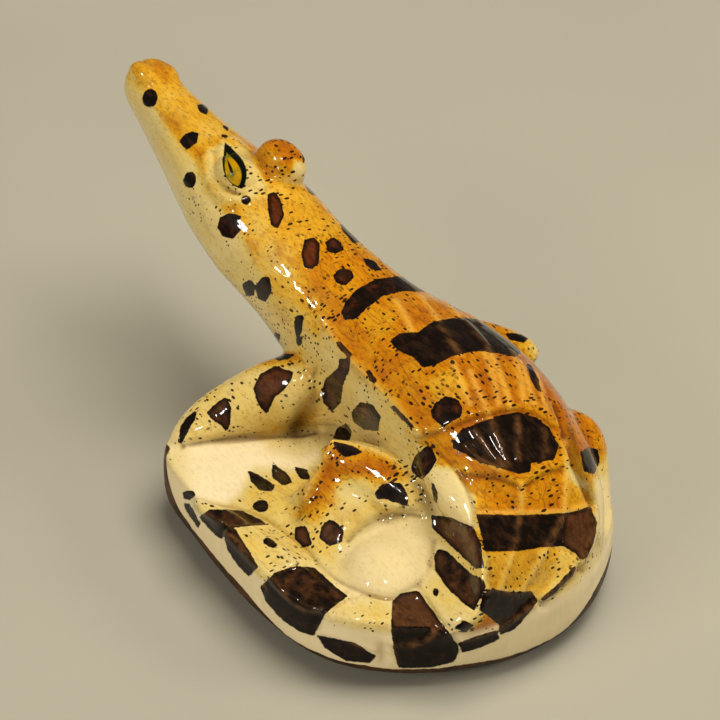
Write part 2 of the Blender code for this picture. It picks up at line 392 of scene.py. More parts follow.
def skin_edges(quads):
    """Each edge of the quads once."""
    pairs = np.vstack([quads[:, (k, (k + 1) % 4)] for k in range(4)])
    return np.unique(np.sort(pairs, axis=1), axis=0)


def eased(points, quads, edges):
    """A few plain smoothing passes, then passes that mostly fill hollows: a point
    moves far towards its neighbours' mean where that mean lies outside the skin,
    and only a little where it lies inside."""
    for _ in range(EASE_PASSES):
        points = points + EASE_SHARE * (neighbour_mean(points, edges) - points)
    for _ in range(HOLLOW_PASSES):
        step = neighbour_mean(points, edges) - points
        out = np.einsum("ij,ij->i", step, skin_normals(points, quads))
        points = points + step * np.where(out > 0, HOLLOW_SHARE, CREST_SHARE)[:, None]
    return points


def bell(gap, width):
    """Bell curve of a distance over a width."""
    return np.exp(-(gap / width) ** 2)


def smooth_step(low, high, value):
    """0 below low, 1 above high, an S curve between."""
    t = np.clip((value - low) / (high - low), 0, 1)
    return t * t * (3 - 2 * t)


# the carving's plain skin
def plain_skin():
    """All plain parts joined to one skin and eased."""
    legs = (FORELEG_LEFT, FORELEG_RIGHT, THIGH_LEFT, SHIN_LEFT, HINDFOOT_LEFT, HINDLEG_RIGHT)
    flap = np.array([(*at_height(*spot), *sizes, 0.0) for spot, sizes in FLAP_LEFT])
    parts = [oval_sweep(SPINE, SPINE_CORNER), tail_sweep(), nut_base()]
    parts += [oval_sweep(limb, LIMB_CORNER) for limb in legs + (flap,)]
    parts += [oval_lump(*sizes) for sizes in LUMPS.values()]
    points, quads = one_skin(parts)
    edges = skin_edges(quads)
    return eased(points, quads, edges), quads, edges


# how the picture's shapes are laid on the skin: how far skin may turn away and still
# be marked, the depth that counts as far outside, the step along a line and its
# softening passes, what a millimetre of distance weighs in picture points, and how
# far from its middle a shape marks the skin: millimetres, plus shares of its half size
MARKED_FACING = -0.15
DEPTH_LIMIT_MM = 2.0
LINE_STEP_PX = 7.0
LINE_SOFTENINGS = 3
DISTANCE_WEIGHT = 0.2
OVAL_REACH = (2.0, 1.8)
OUTLINE_REACH = (3.0, 1.4)


class Skin:
    """The carving's surface, and measures of it from every point."""

    def __init__(self, points, quads):
        self.points = points
        self.quads = quads
        self.refresh()

    def refresh(self):
        """Works the normals, the picture places and the ray tree out again."""
        self.normals = skin_normals(self.points, self.quads)
        self.places, self.depths = picture(self.points)
        self.facing = -(self.normals @ AHEAD)
        self.tree = BVHTree.FromPolygons(self.points.tolist(), self.quads.tolist())

    def raise_by(self, lift):
        """Moves every point along its normal by its own lift."""
        self.points = self.points + self.normals * lift[:, None]
        self.refresh()

    def laid(self, across, down):
        """Where the sight line through a picture point first meets the skin."""
        place = self.tree.ray_cast(Vector(EYE_POINT), Vector(sight_line(across, down)))[0]
        if place is None:
            gap = np.hypot(*(self.places - (across, down)).T)
            return self.points[np.argmin(gap + DISTANCE_WEIGHT * self.depths)]
        return np.array(place)

    def line(self, spots):
        """A picture line laid on the skin, with a point every few picture points."""
        run = []
        for start, end in zip(spots, spots[1:]):
            many = max(1, int(math.dist(start, end) / LINE_STEP_PX))
            start, span = np.array(start), np.array(end) - np.array(start)
            run += [self.laid(*(start + span * k / many)) for k in range(many)]
        run.append(self.laid(*spots[-1]))
        run = np.array(run)
        for _ in range(LINE_SOFTENINGS):
            run[1:-1] = 0.25 * run[:-2] + 0.5 * run[1:-1] + 0.25 * run[2:]
        return run

    def from_line(self, run):
        """Distance of every point from a run of straight pieces in space."""
        best = np.full(len(self.points), 1e3)
        for start, end in zip(run, run[1:]):
            span = end - start
            share = np.clip((self.points - start) @ span / (span @ span + 1e-9), 0, 1)
            gap = self.points - start - share[:, None] * span
            best = np.minimum(best, np.einsum("ij,ij->i", gap, gap))
        return np.sqrt(best)

    def side_of(self, spots):
        """Positive right of a picture line's way (seen in the picture), by the
        cross product with the line's nearest piece."""
        spots = np.array(spots, dtype=float)
        best = np.full(len(self.points), 1e9)
        side = np.zeros(len(self.points))
        for start, end in zip(spots, spots[1:]):
            span, away = end - start, self.places - start
            share = np.clip(away @ span / (span @ span), 0, 1)
            gap = np.linalg.norm(away - share[:, None] * span, axis=1)
            cross = span[0] * away[:, 1] - span[1] * away[:, 0]
            nearer = gap < best
            side[nearer] = cross[nearer]
            best[nearer] = gap[nearer]
        return side

    def near_side(self, middle, reach):
        """True where the skin faces the viewpoint and is within reach of a point."""
        gap = self.points - middle
        near = np.einsum("ij,ij->i", gap, gap) < reach ** 2
        return near & (self.facing > MARKED_FACING)

    def in_oval(self, across, down, half_across, half_down, turn):
        """Depth inside a turned oval of the picture, in millimetres, negative outside."""
        x, y = self.places[:, 0] - across, self.places[:, 1] - down
        c, s = math.cos(math.radians(turn)), math.sin(math.radians(turn))
        a, b = (x * c + y * s) / half_across, (y * c - x * s) / half_down
        inside = (1 - np.hypot(a, b)) * min(half_across, half_down) / PX_PER_MM
        middle = self.laid(across, down)
        reach = OVAL_REACH[0] + OVAL_REACH[1] * max(half_across, half_down) / PX_PER_MM
        return np.where(self.near_side(middle, reach), inside, -DEPTH_LIMIT_MM)

    def in_outline(self, spots):
        """Depth inside a picture outline, in millimetres, negative outside: the
        distance to its nearest side, with the sign of the even-odd rule."""
        spots = np.array(spots, dtype=float)
        x, y = self.places.T
        best = np.full(len(x), 1e9)
        inside = np.zeros(len(x), dtype=bool)
        for start, end in zip(spots, np.roll(spots, -1, axis=0)):
            span = end - start
            over, under = x - start[0], y - start[1]
            share = np.clip((over * span[0] + under * span[1]) / (span @ span), 0, 1)
            gap = np.hypot(over - share * span[0], under - share * span[1])
            best = np.minimum(best, gap)
            between = (start[1] > y) != (end[1] > y)
            with np.errstate(divide="ignore", invalid="ignore"):
                cross = start[0] + under * span[0] / span[1]
            inside ^= between & (x < cross)
        middle = spots.mean(axis=0)
        half = np.linalg.norm(spots - middle, axis=1).max()
        reach = OUTLINE_REACH[0] + OUTLINE_REACH[1] * half / PX_PER_MM
        depth = np.where(inside, best, -best) / PX_PER_MM
        return np.where(self.near_side(self.laid(*middle), reach), depth, -DEPTH_LIMIT_MM)


# relief lines: picture points, then width and height in millimetres; a height
# below zero cuts in
RIDGES = (
    # crest between flank and back
    (((322, 318), (336, 342), (356, 364), (380, 388), (396, 402), (418, 432)), 0.55, 0.32),
    # fan of ridges in the third patch
    (((466, 446), (482, 464), (502, 470)), 0.28, 0.20),
    (((475, 430), (488, 450), (504, 468)), 0.28, 0.20),
    (((490, 420), (500, 446), (510, 464)), 0.26, 0.16),
    (((517, 418), (520, 440), (518, 460)), 0.26, 0.16),
    (((545, 430), (545, 458)), 0.26, 0.14),
    # long ridges between the second and third patch
    (((470, 372), (478, 392), (488, 412)), 0.40, 0.14),
    (((464, 322), (482, 340), (491, 354), (498, 372), (506, 390), (510, 407)), 0.40, 0.20),
    (((520, 362), (528, 384), (534, 404)), 0.40, 0.12),
    (((440, 326), (452, 342), (460, 356)), 0.40, 0.12),
    (((452, 362), (462, 384), (470, 404)), 0.26, 0.10),
    (((484, 352), (493, 376), (499, 404)), 0.26, 0.12),
    (((512, 352), (520, 376), (524, 402)), 0.26, 0.10),
    (((535, 372), (541, 390), (546, 410)), 0.26, 0.10),
    (((420, 296), (432, 312), (440, 322)), 0.26, 0.10),
    (((444, 300), (458, 316)), 0.26, 0.10),
    (((396, 300), (406, 316), (412, 332)), 0.26, 0.10),
    (((470, 312), (480, 324)), 0.26, 0.10),
    # edges of the plates below the fan
    (((522, 486), (521, 512), (517, 533), (515, 548), (508, 563), (500, 587)), 0.26, 0.22),
    (((566, 440), (566, 473), (564, 513), (555, 533), (547, 547), (532, 573), (518, 594)),
      0.26, 0.20),
    # tail's outer crest, and steps across it
    (((594, 508), (596, 528), (590, 548), (568, 576), (543, 597)), 0.30, 0.16),
    (((534, 604), (516, 618), (494, 631), (462, 640)), 0.30, 0.16),
    (((439, 629), (423, 643), (404, 648), (388, 642)), 0.30, 0.20),
    (((374, 650), (357, 644), (335, 635), (318, 629)), 0.30, 0.18),
    (((322, 610), (305, 611), (288, 599), (272, 579)), 0.30, 0.20),
    (((257, 566), (246, 553), (237, 541), (227, 531)), 0.30, 0.18),
    (((230, 526), (217, 520), (201, 511)), 0.30, 0.16),
    (((263, 588), (259, 600)), 0.35, -0.22),
    (((318, 617), (313, 640)), 0.35, -0.22),
    (((384, 646), (384, 660)), 0.35, -0.22),
    (((455, 636), (460, 652)), 0.35, -0.25),
    (((540, 601), (545, 606)), 0.35, -0.22),
    (((578, 567), (584, 572)), 0.35, -0.20),
    (((226, 528), (218, 545)), 0.35, -0.20),
    # body and far knee part here
    (((556, 406), (562, 424), (566, 440), (570, 456), (577, 472), (586, 490), (592, 506)),
      0.32, -0.42),
    # knee: its long edge, and the crease beside it
    (((306, 498), (318, 474), (334, 446)), 0.45, 0.30),
    (((334, 444), (352, 446), (378, 452), (402, 466), (414, 480)), 0.45, 0.26),
    (((378, 500), (392, 508), (408, 508)), 0.45, 0.22),
    (((348, 540), (364, 525), (384, 516), (404, 512), (420, 516)), 0.40, -0.28),
    # tail's inner edge, where it lies on the foot and the lump
    (((182, 497), (215, 503), (248, 509), (268, 520), (290, 535), (310, 551), (320, 566),
      (345, 585), (368, 594), (392, 602), (403, 592), (419, 587), (430, 572), (433, 556),
      (434, 540)), 0.22, -0.16),
    # steps between the tail's bands
    (((266, 524), (234, 527), (224, 536)), 0.20, 0.10),
    (((310, 560), (280, 568), (262, 586)), 0.20, 0.10),
    (((346, 590), (330, 604), (320, 630)), 0.20, -0.12),
    (((393, 603), (390, 628), (394, 660)), 0.20, 0.10),
    (((420, 588), (440, 620), (460, 652)), 0.20, -0.12),
    (((482, 552), (520, 551), (558, 547), (590, 556)), 0.20, -0.10),
    (((476, 513), (520, 513), (562, 512), (590, 505)), 0.20, 0.12),
    (((488, 590), (510, 592), (534, 591)), 0.20, 0.10),
    # creases beside the hip flap and before the knee
    (((408, 474), (424, 492), (432, 512)), 0.60, -0.25),
    (((312, 498), (300, 512)), 0.60, -0.15),
    # creases under the foreleg and behind it
    (((182, 446), (200, 443), (240, 438), (280, 434), (316, 431)), 0.40, -0.34),
    (((312, 372), (309, 390), (303, 412), (300, 430)), 0.60, -0.34),
    # left eye: lids and the fold below, then the brow
    (((222, 141), (232, 150), (240, 164), (248, 180), (240, 191)), 0.28, 0.20),
    (((222, 146), (221, 160), (225, 176), (233, 188), (240, 191)), 0.26, 0.16),
    (((206, 158), (207, 176), (216, 194), (234, 205), (250, 196)), 0.55, 0.36),
    (((214, 150), (215, 168), (221, 184), (232, 196), (244, 196)), 0.26, -0.14),
    (((233, 140), (246, 154), (257, 172), (262, 186)), 0.50, 0.22),
    # jaw line along the snout
    (((141, 100), (156, 130), (176, 168), (194, 202), (210, 236)), 0.40, -0.06),
)


# plates of the tail that stand over the dark bands beside them: height, outline
PLATES = (
    (0.20, ((229, 527), (262, 525), (278, 544), (308, 561), (290, 568), (274, 577), (250, 579),
            (258, 566), (243, 545))),
    (0.22, ((317, 633), (327, 616), (345, 602), (362, 597), (392, 602), (392, 655), (375, 650),
            (357, 642), (335, 636))),
    (0.22, ((424, 562), (436, 572), (446, 588), (463, 604), (474, 611), (466, 620), (453, 628),
            (441, 620), (432, 609), (422, 590))),
)
PLATE_EDGE_MM = 0.14

# lapped lips: picture points, then in millimetres the width on the left of the
# line's way, the width on its right, and the height
LIPS = (
    (((426, 448), (440, 457), (454, 474), (465, 494), (471, 512), (473, 525)), 0.24, 0.9, 0.35),
    (((478, 528), (483, 545), (485, 565), (486, 590)), 0.25, 1.2, 0.30),
    (((418, 434), (440, 430), (462, 419), (486, 412), (510, 407), (538, 411), (552, 424)),
     1.4, 0.25, 0.26),
    (((466, 472), (492, 473), (510, 478), (521, 487), (532, 476), (546, 469), (560, 466)),
     1.2, 0.22, 0.24),
    (((596, 508), (598, 528), (590, 552), (568, 578), (543, 600)), 0.22, 0.9, 0.20),
)
LIP_FACING = -0.2
LIP_STEEP_MM = 0.5

# width of the wear on a ridge and of the brown in a cut or at a lip's foot, which is
# stain and painted shade; where that foot is, and how strong that brown is there and
# in a cut of some depth
WORN_MM = 0.24
CREASE_STAIN_AND_SHADE_MM = 0.16
LIP_FOOT_MM = 0.30
LIP_FOOT_STAIN_AND_SHADE = 0.8
CUT_STAIN_AND_SHADE_A_MM = 3.0


def raise_plates(skin):
    """Adds each plate's height inside its outline, with an S curve at the edge."""
    lift = np.zeros(len(skin.points))
    for height, outline in PLATES:
        lift += height * smooth_step(-PLATE_EDGE_MM, PLATE_EDGE_MM, skin.in_outline(outline))
    skin.raise_by(lift)


def raise_lips(skin):
    """Adds each lip's height times a bell curve that is narrow on one side of its
    line and wide on the other, so the surface stands over its neighbour like a
    lapped edge. Gives back how near each point is to the foot of a lapped edge,
    where brown stain and painted shade are laid."""
    lift = np.zeros(len(skin.points))
    crease_stain_and_shade = np.zeros(len(skin.points))
    for spots, left, right, height in LIPS:
        gap, side = skin.from_line(skin.line(spots)), skin.side_of(spots)
        near = skin.facing > LIP_FACING
        reach = np.where(side > 0, right, left)
        lift += np.where(near, height * bell(gap, reach), 0)
        foot = LIP_FOOT_STAIN_AND_SHADE * bell(gap - LIP_FOOT_MM, CREASE_STAIN_AND_SHADE_MM)
        crease_stain_and_shade = np.maximum(crease_stain_and_shade, np.where(near & (reach < LIP_STEEP_MM), foot, 0))
    skin.raise_by(lift)
    return crease_stain_and_shade


def raise_ridges(skin):
    """Adds each line's height times the bell curve of the distance from the line.
    Gives back how near each point is to a ridge, where the stain is rubbed thin,
    and to a cut, where stain collects and painted shade is laid."""
    lift = np.zeros(len(skin.points))
    worn = np.zeros(len(skin.points))
    crease_stain_and_shade = np.zeros(len(skin.points))
    for spots, width, height in RIDGES:
        gap = skin.from_line(skin.line(spots))
        lift += height * bell(gap, width)
        if height > 0:
            worn = np.maximum(worn, bell(gap, WORN_MM))
        else:
            depth = min(1.0, -CUT_STAIN_AND_SHADE_A_MM * height)
            crease_stain_and_shade = np.maximum(crease_stain_and_shade, depth * bell(gap, CREASE_STAIN_AND_SHADE_MM))
    skin.raise_by(lift)
    return worn, crease_stain_and_shade


# small round dark spots: picture middle across and down, half sizes, turn, redness
SPOTS = (
    (150, 98, 7.5, 9.5, 8, 0.2), (203, 109, 6.5, 4, 40, 0.2), (190, 180, 6.5, 8.5, 8, 0.2),
    (246, 200, 5, 5, 0, 0.7), (311, 190, 3, 7, -42, 0.1), (226, 128, 4, 2, 42, 0.1),
    (261, 506, 8, 6, 4, 0.6), (270, 543, 8, 4, 28, 0.9), (436, 592, 3, 5, 0, 0.2),
    (443, 577, 2, 3, 0, 0.2), (299, 341, 3, 5, 0, 0.3), (224, 136, 4, 1.8, 12, 0.1),
)
# larger dark spots and bands: redness, then the picture outline
PATCHES = (
    # head and neck
    (0.1, ((179, 142), (185, 134), (193, 131), (199, 134), (197, 143), (187, 150))),
    (0.6, ((217, 228), (220, 217), (229, 213), (241, 215), (241, 230), (233, 239), (222, 236))),
    (1.0, ((267, 194), (275, 192), (282, 202), (284, 217), (277, 230), (271, 225), (268, 209))),
    (1.0, ((301, 255), (304, 240), (314, 237), (320, 244), (319, 263), (312, 270), (304, 267))),
    (0.6, ((325, 242), (333, 237), (341, 242), (344, 250), (335, 254), (327, 251))),
    (0.2, ((339, 223), (347, 227), (360, 242), (354, 244), (345, 234))),
    (0.7, ((333, 275), (341, 268), (352, 270), (354, 278), (345, 286), (336, 283))),
    (0.3, ((362, 257), (375, 261), (382, 270), (375, 271), (366, 265))),
    (0.5, ((255, 286), (262, 277), (270, 277), (272, 290), (266, 302), (258, 299))),
    (0.1, ((242, 284), (250, 279), (256, 286), (254, 296), (246, 296))),
    (0.5, ((294, 321), (298, 314), (304, 317), (302, 332), (297, 337), (294, 329))),
    (0.2, ((271, 344), (275, 332), (280, 334), (279, 352), (275, 355))),
    (0.5, ((341, 313), (345, 302), (356, 290), (375, 279), (398, 276), (414, 281), (430, 292),
           (402, 291), (381, 297), (366, 309), (356, 319), (345, 320))),
    # back
    (0.25, ((389, 341), (401, 333), (418, 332), (432, 322), (452, 318), (470, 318), (494, 322),
            (511, 335), (521, 352), (516, 357), (501, 354), (480, 351), (463, 353), (449, 358),
            (435, 365), (423, 368), (414, 358), (399, 351))),
    (0.5, ((431, 411), (435, 403), (446, 396), (458, 399), (463, 408), (461, 417), (451, 422),
           (444, 427), (432, 418))),
    (0.25, ((453, 442), (461, 430), (480, 422), (501, 415), (518, 412), (535, 417), (549, 427),
            (559, 446), (554, 460), (532, 463), (530, 472), (518, 474), (501, 468), (480, 463),
            (466, 454), (453, 448))),
    (0.1, ((526, 364), (531, 364), (539, 380), (542, 394), (536, 390), (530, 378))),
    (0.1, ((336, 342), (341, 342), (353, 355), (348, 358), (339, 348))),
    (0.1, ((366, 371), (370, 370), (377, 380), (375, 384), (369, 380))),
    (0.7, ((390, 407), (394, 405), (405, 416), (415, 427), (412, 430), (402, 420))),
    # flank and knee
    (0.7, ((322, 390), (326, 378), (338, 368), (339, 359), (350, 357), (350, 368), (343, 386),
           (341, 402), (332, 412), (323, 403))),
    (0.6, ((351, 412), (360, 402), (372, 404), (381, 417), (378, 431), (364, 430), (353, 421))),
    (0.3, ((333, 438), (337, 428), (346, 423), (352, 431), (350, 440), (342, 442))),
    (0.1, ((332, 441), (343, 443), (354, 446), (363, 452), (357, 455), (345, 457), (336, 450))),
    (0.6, ((411, 466), (415, 456), (422, 450), (428, 444), (434, 452), (437, 460), (430, 472),
           (422, 480), (412, 472))),
    (0.3, ((431, 483), (434, 483), (438, 493), (437, 504), (433, 498))),
    (0.2, ((375, 493), (381, 485), (392, 482), (401, 483), (407, 493), (409, 507), (397, 503),
           (385, 499), (377, 499))),
    (1.0, ((321, 527), (329, 519), (336, 522), (344, 530), (342, 542), (329, 546), (319, 538))),
    (1.0, ((295, 527), (305, 525), (310, 535), (312, 545), (303, 548), (294, 538))),
    # claws
    (0.5, ((247, 469), (262, 477), (275, 485), (272, 492), (259, 490), (251, 481))),
    (0.7, ((272, 462), (288, 474), (293, 483), (283, 486), (272, 477))),
    (0.3, ((294, 467), (307, 469), (311, 480), (300, 479))),
    # foreleg
    (1.0, ((253, 388), (260, 374), (275, 366), (294, 372), (291, 380), (285, 389), (274, 398),
           (267, 415), (258, 404))),
    (0.8, ((207, 413), (216, 403), (227, 396), (231, 408), (230, 424), (227, 433), (221, 425),
           (212, 420))),
    (0.3, ((178, 442), (180, 426), (188, 416), (198, 409), (194, 421), (187, 434), (181, 444))),
    (0.2, ((274, 358), (284, 354), (294, 354), (290, 359), (278, 361))),
    # far knee and forefoot
    (0.2, ((580, 452), (588, 447), (598, 449), (600, 462), (594, 474), (584, 472))),
    (0.3, ((504, 333), (516, 333), (529, 338), (524, 343), (510, 340))),
    # tail bands from the rump to the tip
    (0.35, ((476, 514), (518, 515), (563, 513), (563, 546), (545, 547), (518, 551), (485, 552),
            (481, 535))),
    (1.0, ((563, 513), (574, 511), (590, 506), (597, 522), (595, 540), (587, 558), (580, 561),
           (576, 554), (563, 546))),
    (1.0, ((431, 515), (449, 517), (473, 527), (480, 542), (484, 568), (476, 569), (466, 560),
           (447, 542), (432, 528))),
    (0.7, ((434, 556), (438, 549), (447, 551), (470, 573), (484, 580), (486, 588), (474, 611),
           (463, 603), (446, 587), (435, 570))),
    (0.2, ((482, 596), (488, 590), (494, 589), (509, 592), (532, 591), (538, 601), (528, 615),
           (515, 629), (499, 636), (499, 625), (488, 616), (479, 610))),
    (0.2, ((540, 599), (559, 583), (573, 567), (577, 566), (573, 576), (557, 592), (543, 602))),
    (0.2, ((458, 643), (476, 636), (497, 630), (500, 639), (480, 648), (462, 653))),
    (0.8, ((453, 628), (463, 620), (474, 625), (466, 633))),
    (1.0, ((392, 601), (401, 593), (418, 590), (432, 610), (441, 622), (452, 636), (460, 650),
           (454, 662), (430, 668), (398, 668), (394, 652), (391, 632))),
    (0.6, ((260, 587), (274, 573), (294, 566), (314, 567), (336, 587), (348, 596), (336, 605),
           (325, 614), (314, 636), (300, 632), (283, 621), (266, 602))),
    (0.4, ((316, 635), (334, 638), (356, 643), (376, 656), (370, 663), (345, 661), (325, 648))),
    (0.2, ((223, 531), (232, 525), (241, 537), (255, 561), (258, 567), (249, 577), (238, 566),
           (227, 549))),
    (0.7, ((199, 517), (210, 509), (241, 510), (262, 520), (267, 525), (249, 526), (232, 528),
           (221, 540), (208, 528))),
    (0.9, ((182, 492), (193, 490), (196, 495), (190, 500), (184, 499))),
    (0.1, ((184, 503), (189, 503), (195, 513), (201, 524), (198, 528), (190, 517), (185, 509))),
)
# on skin lower than this, spots on steep faces are plain dark
SPOT_LOW_MM = 7.5
SPOT_UP_BAND = (0.35, 0.6)

# spots by rule where the picture shows nothing: how many, where they may lie, their
# sizes (least, and the most added), and how far each is slanted and stretched
HIDDEN_SPOTS = 44
HIDDEN_FACING = -0.12
HIDDEN_EDGE_FACING = 0.1
HIDDEN_LOW_MM = 8.2
HIDDEN_LEAST_UP = -0.45
HIDDEN_SIZES_MM = (0.40, 0.80)
HIDDEN_LEAN = 0.6
HIDDEN_LEAN_BACK = 0.4
HIDDEN_WIDTHS = (0.74, 0.20)
HIDDEN_HEIGHTS = (1.0, 0.25)

# how fast each of these swings from one hidden spot to the next, in radians
SIZE_PACE, LEAN_PACE, WIDTH_PACE, HEIGHT_PACE, RED_PACE = 2.4, 1.3, 0.9, 2.1, 1.7


def hidden_spots(skin):
    """Depth and redness of each spot on the sides the picture doesn't show. They
    lie round points picked one by one, each the furthest from those before it; the
    k-th has the radius size times 1 + 0.16 cos(3 turn + k) + 0.08 cos(5 turn + 2 k)
    in a frame that is slanted and stretched by waves of k."""
    hidden = (skin.facing < HIDDEN_FACING) & (skin.points[:, 2] > HIDDEN_LOW_MM)
    free = skin.points[hidden & (skin.normals[:, 2] > HIDDEN_LEAST_UP)]
    middle = free[np.argmax(free[:, 0])]
    gap = np.linalg.norm(free - middle, axis=1)
    for k in range(HIDDEN_SPOTS):
        middle = free[np.argmax(gap)]
        gap = np.minimum(gap, np.linalg.norm(free - middle, axis=1))
        size = HIDDEN_SIZES_MM[0] + HIDDEN_SIZES_MM[1] * abs(math.sin(k * SIZE_PACE))
        lean = HIDDEN_LEAN * math.sin(k * LEAN_PACE)
        width = HIDDEN_WIDTHS[0] + HIDDEN_WIDTHS[1] * math.sin(k * WIDTH_PACE)
        height = HIDDEN_HEIGHTS[0] + HIDDEN_HEIGHTS[1] * math.cos(k * HEIGHT_PACE)
        x, y, z = (skin.points - middle).T
        back = x * lean * HIDDEN_LEAN_BACK
        slant = np.column_stack((x * width + z * lean, y, z * height - back))
        turn = np.arctan2(slant[:, 2], slant[:, 0])
        radius = 1.0 + 0.16 * np.cos(3 * turn + k) + 0.08 * np.cos(5 * turn + 2.0 * k)
        inside = size * radius - np.linalg.norm(slant, axis=1)
        inside = np.where(skin.facing < HIDDEN_EDGE_FACING, inside, -DEPTH_LIMIT_MM)
        yield inside, abs(math.sin(k * RED_PACE))


def dark_fields(skin):
    """Depth inside the nearest dark spot, and that spot's redness."""
    depth = np.full(len(skin.points), -DEPTH_LIMIT_MM)
    redness = np.zeros(len(skin.points))

    def add(inside, red):
        nearer = inside > depth
        redness[nearer] = red
        depth[nearer] = inside[nearer]

    for across, down, half_across, half_down, turn, red in SPOTS:
        add(skin.in_oval(across, down, half_across, half_down, turn), red)
    for red, outline in PATCHES:
        add(skin.in_outline(outline), red)
    level = smooth_step(*SPOT_UP_BAND, skin.normals[:, 2])
    redness *= np.where(skin.points[:, 2] < SPOT_LOW_MM, level, 1.0)
    for inside, red in hidden_spots(skin):
        add(inside, red)
    return np.clip(depth, -DEPTH_LIMIT_MM, DEPTH_LIMIT_MM), redness


# stain, from bare ivory 0 over cream and yellow to deep amber 1: strength of the
# stain, softness of the edge in millimetres, then the picture outline
STAINS = (
    # near flank and throat, beige
    (0.38, 0.9, ((225, 275), (262, 330), (300, 352), (330, 344), (356, 366), (396, 404),
                 (424, 440), (440, 470), (430, 520), (400, 470), (340, 440), (300, 430),
                 (318, 400), (300, 360))),
    # neck and crown, yellow amber
    (0.64, 1.0, ((252, 186), (276, 172), (310, 190), (355, 236), (402, 276), (372, 290),
                 (340, 330), (316, 330), (284, 284), (262, 236))),
    (0.58, 1.1, ((238, 206), (262, 196), (284, 250), (312, 318), (300, 344), (270, 300),
                 (250, 250))),
    # back, brown amber, then the brighter panels and the deep orange one
    (0.84, 1.1, ((300, 262), (340, 232), (402, 274), (470, 306), (527, 345), (560, 400),
                 (572, 440), (566, 470), (560, 506), (476, 510), (470, 500), (446, 462),
                 (420, 434), (396, 402), (356, 364), (334, 330))),
    (0.66, 0.6, ((424, 380), (452, 368), (470, 382), (464, 400), (440, 402))),
    (0.88, 0.7, ((468, 362), (520, 360), (552, 402), (530, 410), (484, 410), (470, 396))),
    (0.90, 0.5, ((534, 360), (552, 376), (566, 412), (574, 440), (560, 436), (548, 404))),
    (0.76, 0.5, ((362, 322), (376, 308), (396, 300), (402, 314), (388, 334), (372, 342))),
    (0.81, 0.5, ((440, 450), (470, 466), (504, 474), (556, 466), (563, 508), (477, 511),
                 (464, 486))),
    (0.72, 0.4, ((560, 440), (590, 470), (600, 508), (566, 510))),
    # snout
    (0.62, 0.5, ((136, 84), (136, 58), (176, 56), (200, 92), (258, 140), (250, 150), (222, 136),
                 (200, 150), (186, 140), (160, 108))),
    (0.76, 0.5, ((130, 74), (140, 55), (166, 52), (178, 66), (174, 82), (150, 78))),
    (0.84, 0.5, ((248, 146), (262, 136), (290, 138), (304, 160), (290, 176), (270, 178),
                 (256, 168))),
    (0.94, 0.5, ((276, 141), (292, 143), (302, 156), (296, 166), (286, 164), (278, 152))),
    # painted highlight: a pale patch on the right of the far eye's dome
    (0.30, 0.3, ((295, 160), (303, 163), (304, 172), (298, 177), (293, 171))),
    (0.36, 0.6, ((126, 82), (146, 92), (170, 130), (196, 160), (206, 190), (240, 230), (270, 300),
                 (268, 330), (220, 290), (150, 170))),
    (0.42, 0.5, ((206, 150), (226, 140), (250, 150), (266, 184), (250, 204), (222, 200),
                 (206, 180))),
    # hollow at the foreleg's root
    (0.62, 0.9, ((256, 424), (282, 404), (312, 380), (324, 396), (320, 436), (296, 448),
                 (262, 444))),
    # knee, foreleg top, far knee
    (0.46, 0.8, ((250, 478), (330, 470), (412, 482), (420, 504), (380, 520), (330, 560),
                 (290, 556), (240, 512))),
    (0.86, 1.0, ((298, 514), (306, 492), (320, 466), (334, 444), (354, 448), (386, 456),
                 (404, 474), (384, 480), (362, 478), (344, 482), (332, 500), (316, 520))),
    (0.34, 0.7, ((334, 492), (346, 480), (364, 480), (372, 492), (362, 504), (344, 508))),
    (0.74, 0.4, ((236, 372), (262, 354), (300, 352), (300, 362), (266, 364))),
    (0.42, 0.6, ((180, 420), (240, 370), (300, 362), (316, 386), (296, 420), (240, 434),
                 (190, 440))),
    (0.86, 0.5, ((570, 416), (604, 416), (612, 446), (600, 460), (576, 452))),
    (0.34, 0.3, ((566, 462), (578, 474), (588, 484), (586, 492), (570, 480))),
    (0.24, 0.4, ((594, 480), (606, 476), (612, 500), (610, 536), (598, 534), (596, 508))),
    # tail, from the root round to the tip
    (0.60, 0.5, ((480, 550), (560, 548), (590, 556), (560, 590), (540, 600), (500, 590),
                 (484, 590))),
    (0.48, 0.3, ((560, 549), (592, 552), (586, 568), (566, 585), (548, 595), (556, 570))),
    (0.84, 0.4, ((470, 612), (500, 610), (520, 620), (500, 636), (456, 644))),
    (0.26, 0.4, ((430, 466), (452, 468), (474, 496), (478, 528), (432, 518))),
    (0.40, 0.4, ((424, 560), (440, 560), (486, 612), (462, 642), (444, 628), (420, 590))),
    (0.40, 0.4, ((324, 590), (392, 596), (392, 652), (324, 634))),
    (0.58, 0.4, ((376, 636), (392, 646), (396, 668), (372, 664))),
    (0.42, 0.4, ((222, 522), (266, 520), (312, 560), (262, 584), (236, 545))),
    (0.42, 0.4, ((186, 494), (240, 498), (246, 512), (196, 512))),
)
# painted shade, laid as brown over hollows, creases and darker faces: strength, softness,
# outline
PAINTED_SHADES = (
    (0.08, 1.0, ((290, 330), (322, 330), (356, 372), (404, 414), (424, 446), (404, 462),
                 (350, 436), (318, 432), (306, 396))),
    (0.75, 0.8, ((282, 436), (292, 416), (304, 400), (314, 384), (320, 396), (316, 414),
                 (308, 430), (296, 440))),
    (0.45, 0.8, ((292, 520), (298, 500), (308, 482), (318, 464), (316, 486), (308, 508),
                 (300, 526))),
    (0.35, 0.5, ((350, 536), (378, 514), (404, 506), (420, 510), (404, 518), (380, 524))),
    (0.40, 0.5, ((418, 500), (430, 496), (434, 516), (426, 520))),
    (0.30, 0.5, ((486, 592), (510, 586), (530, 590), (516, 606), (500, 612))),
    (0.24, 0.6, ((482, 552), (556, 549), (550, 574), (528, 592), (488, 590))),
    (0.62, 0.35, ((565, 424), (573, 430), (583, 462), (596, 500), (591, 510), (577, 480),
                  (567, 450))),
)
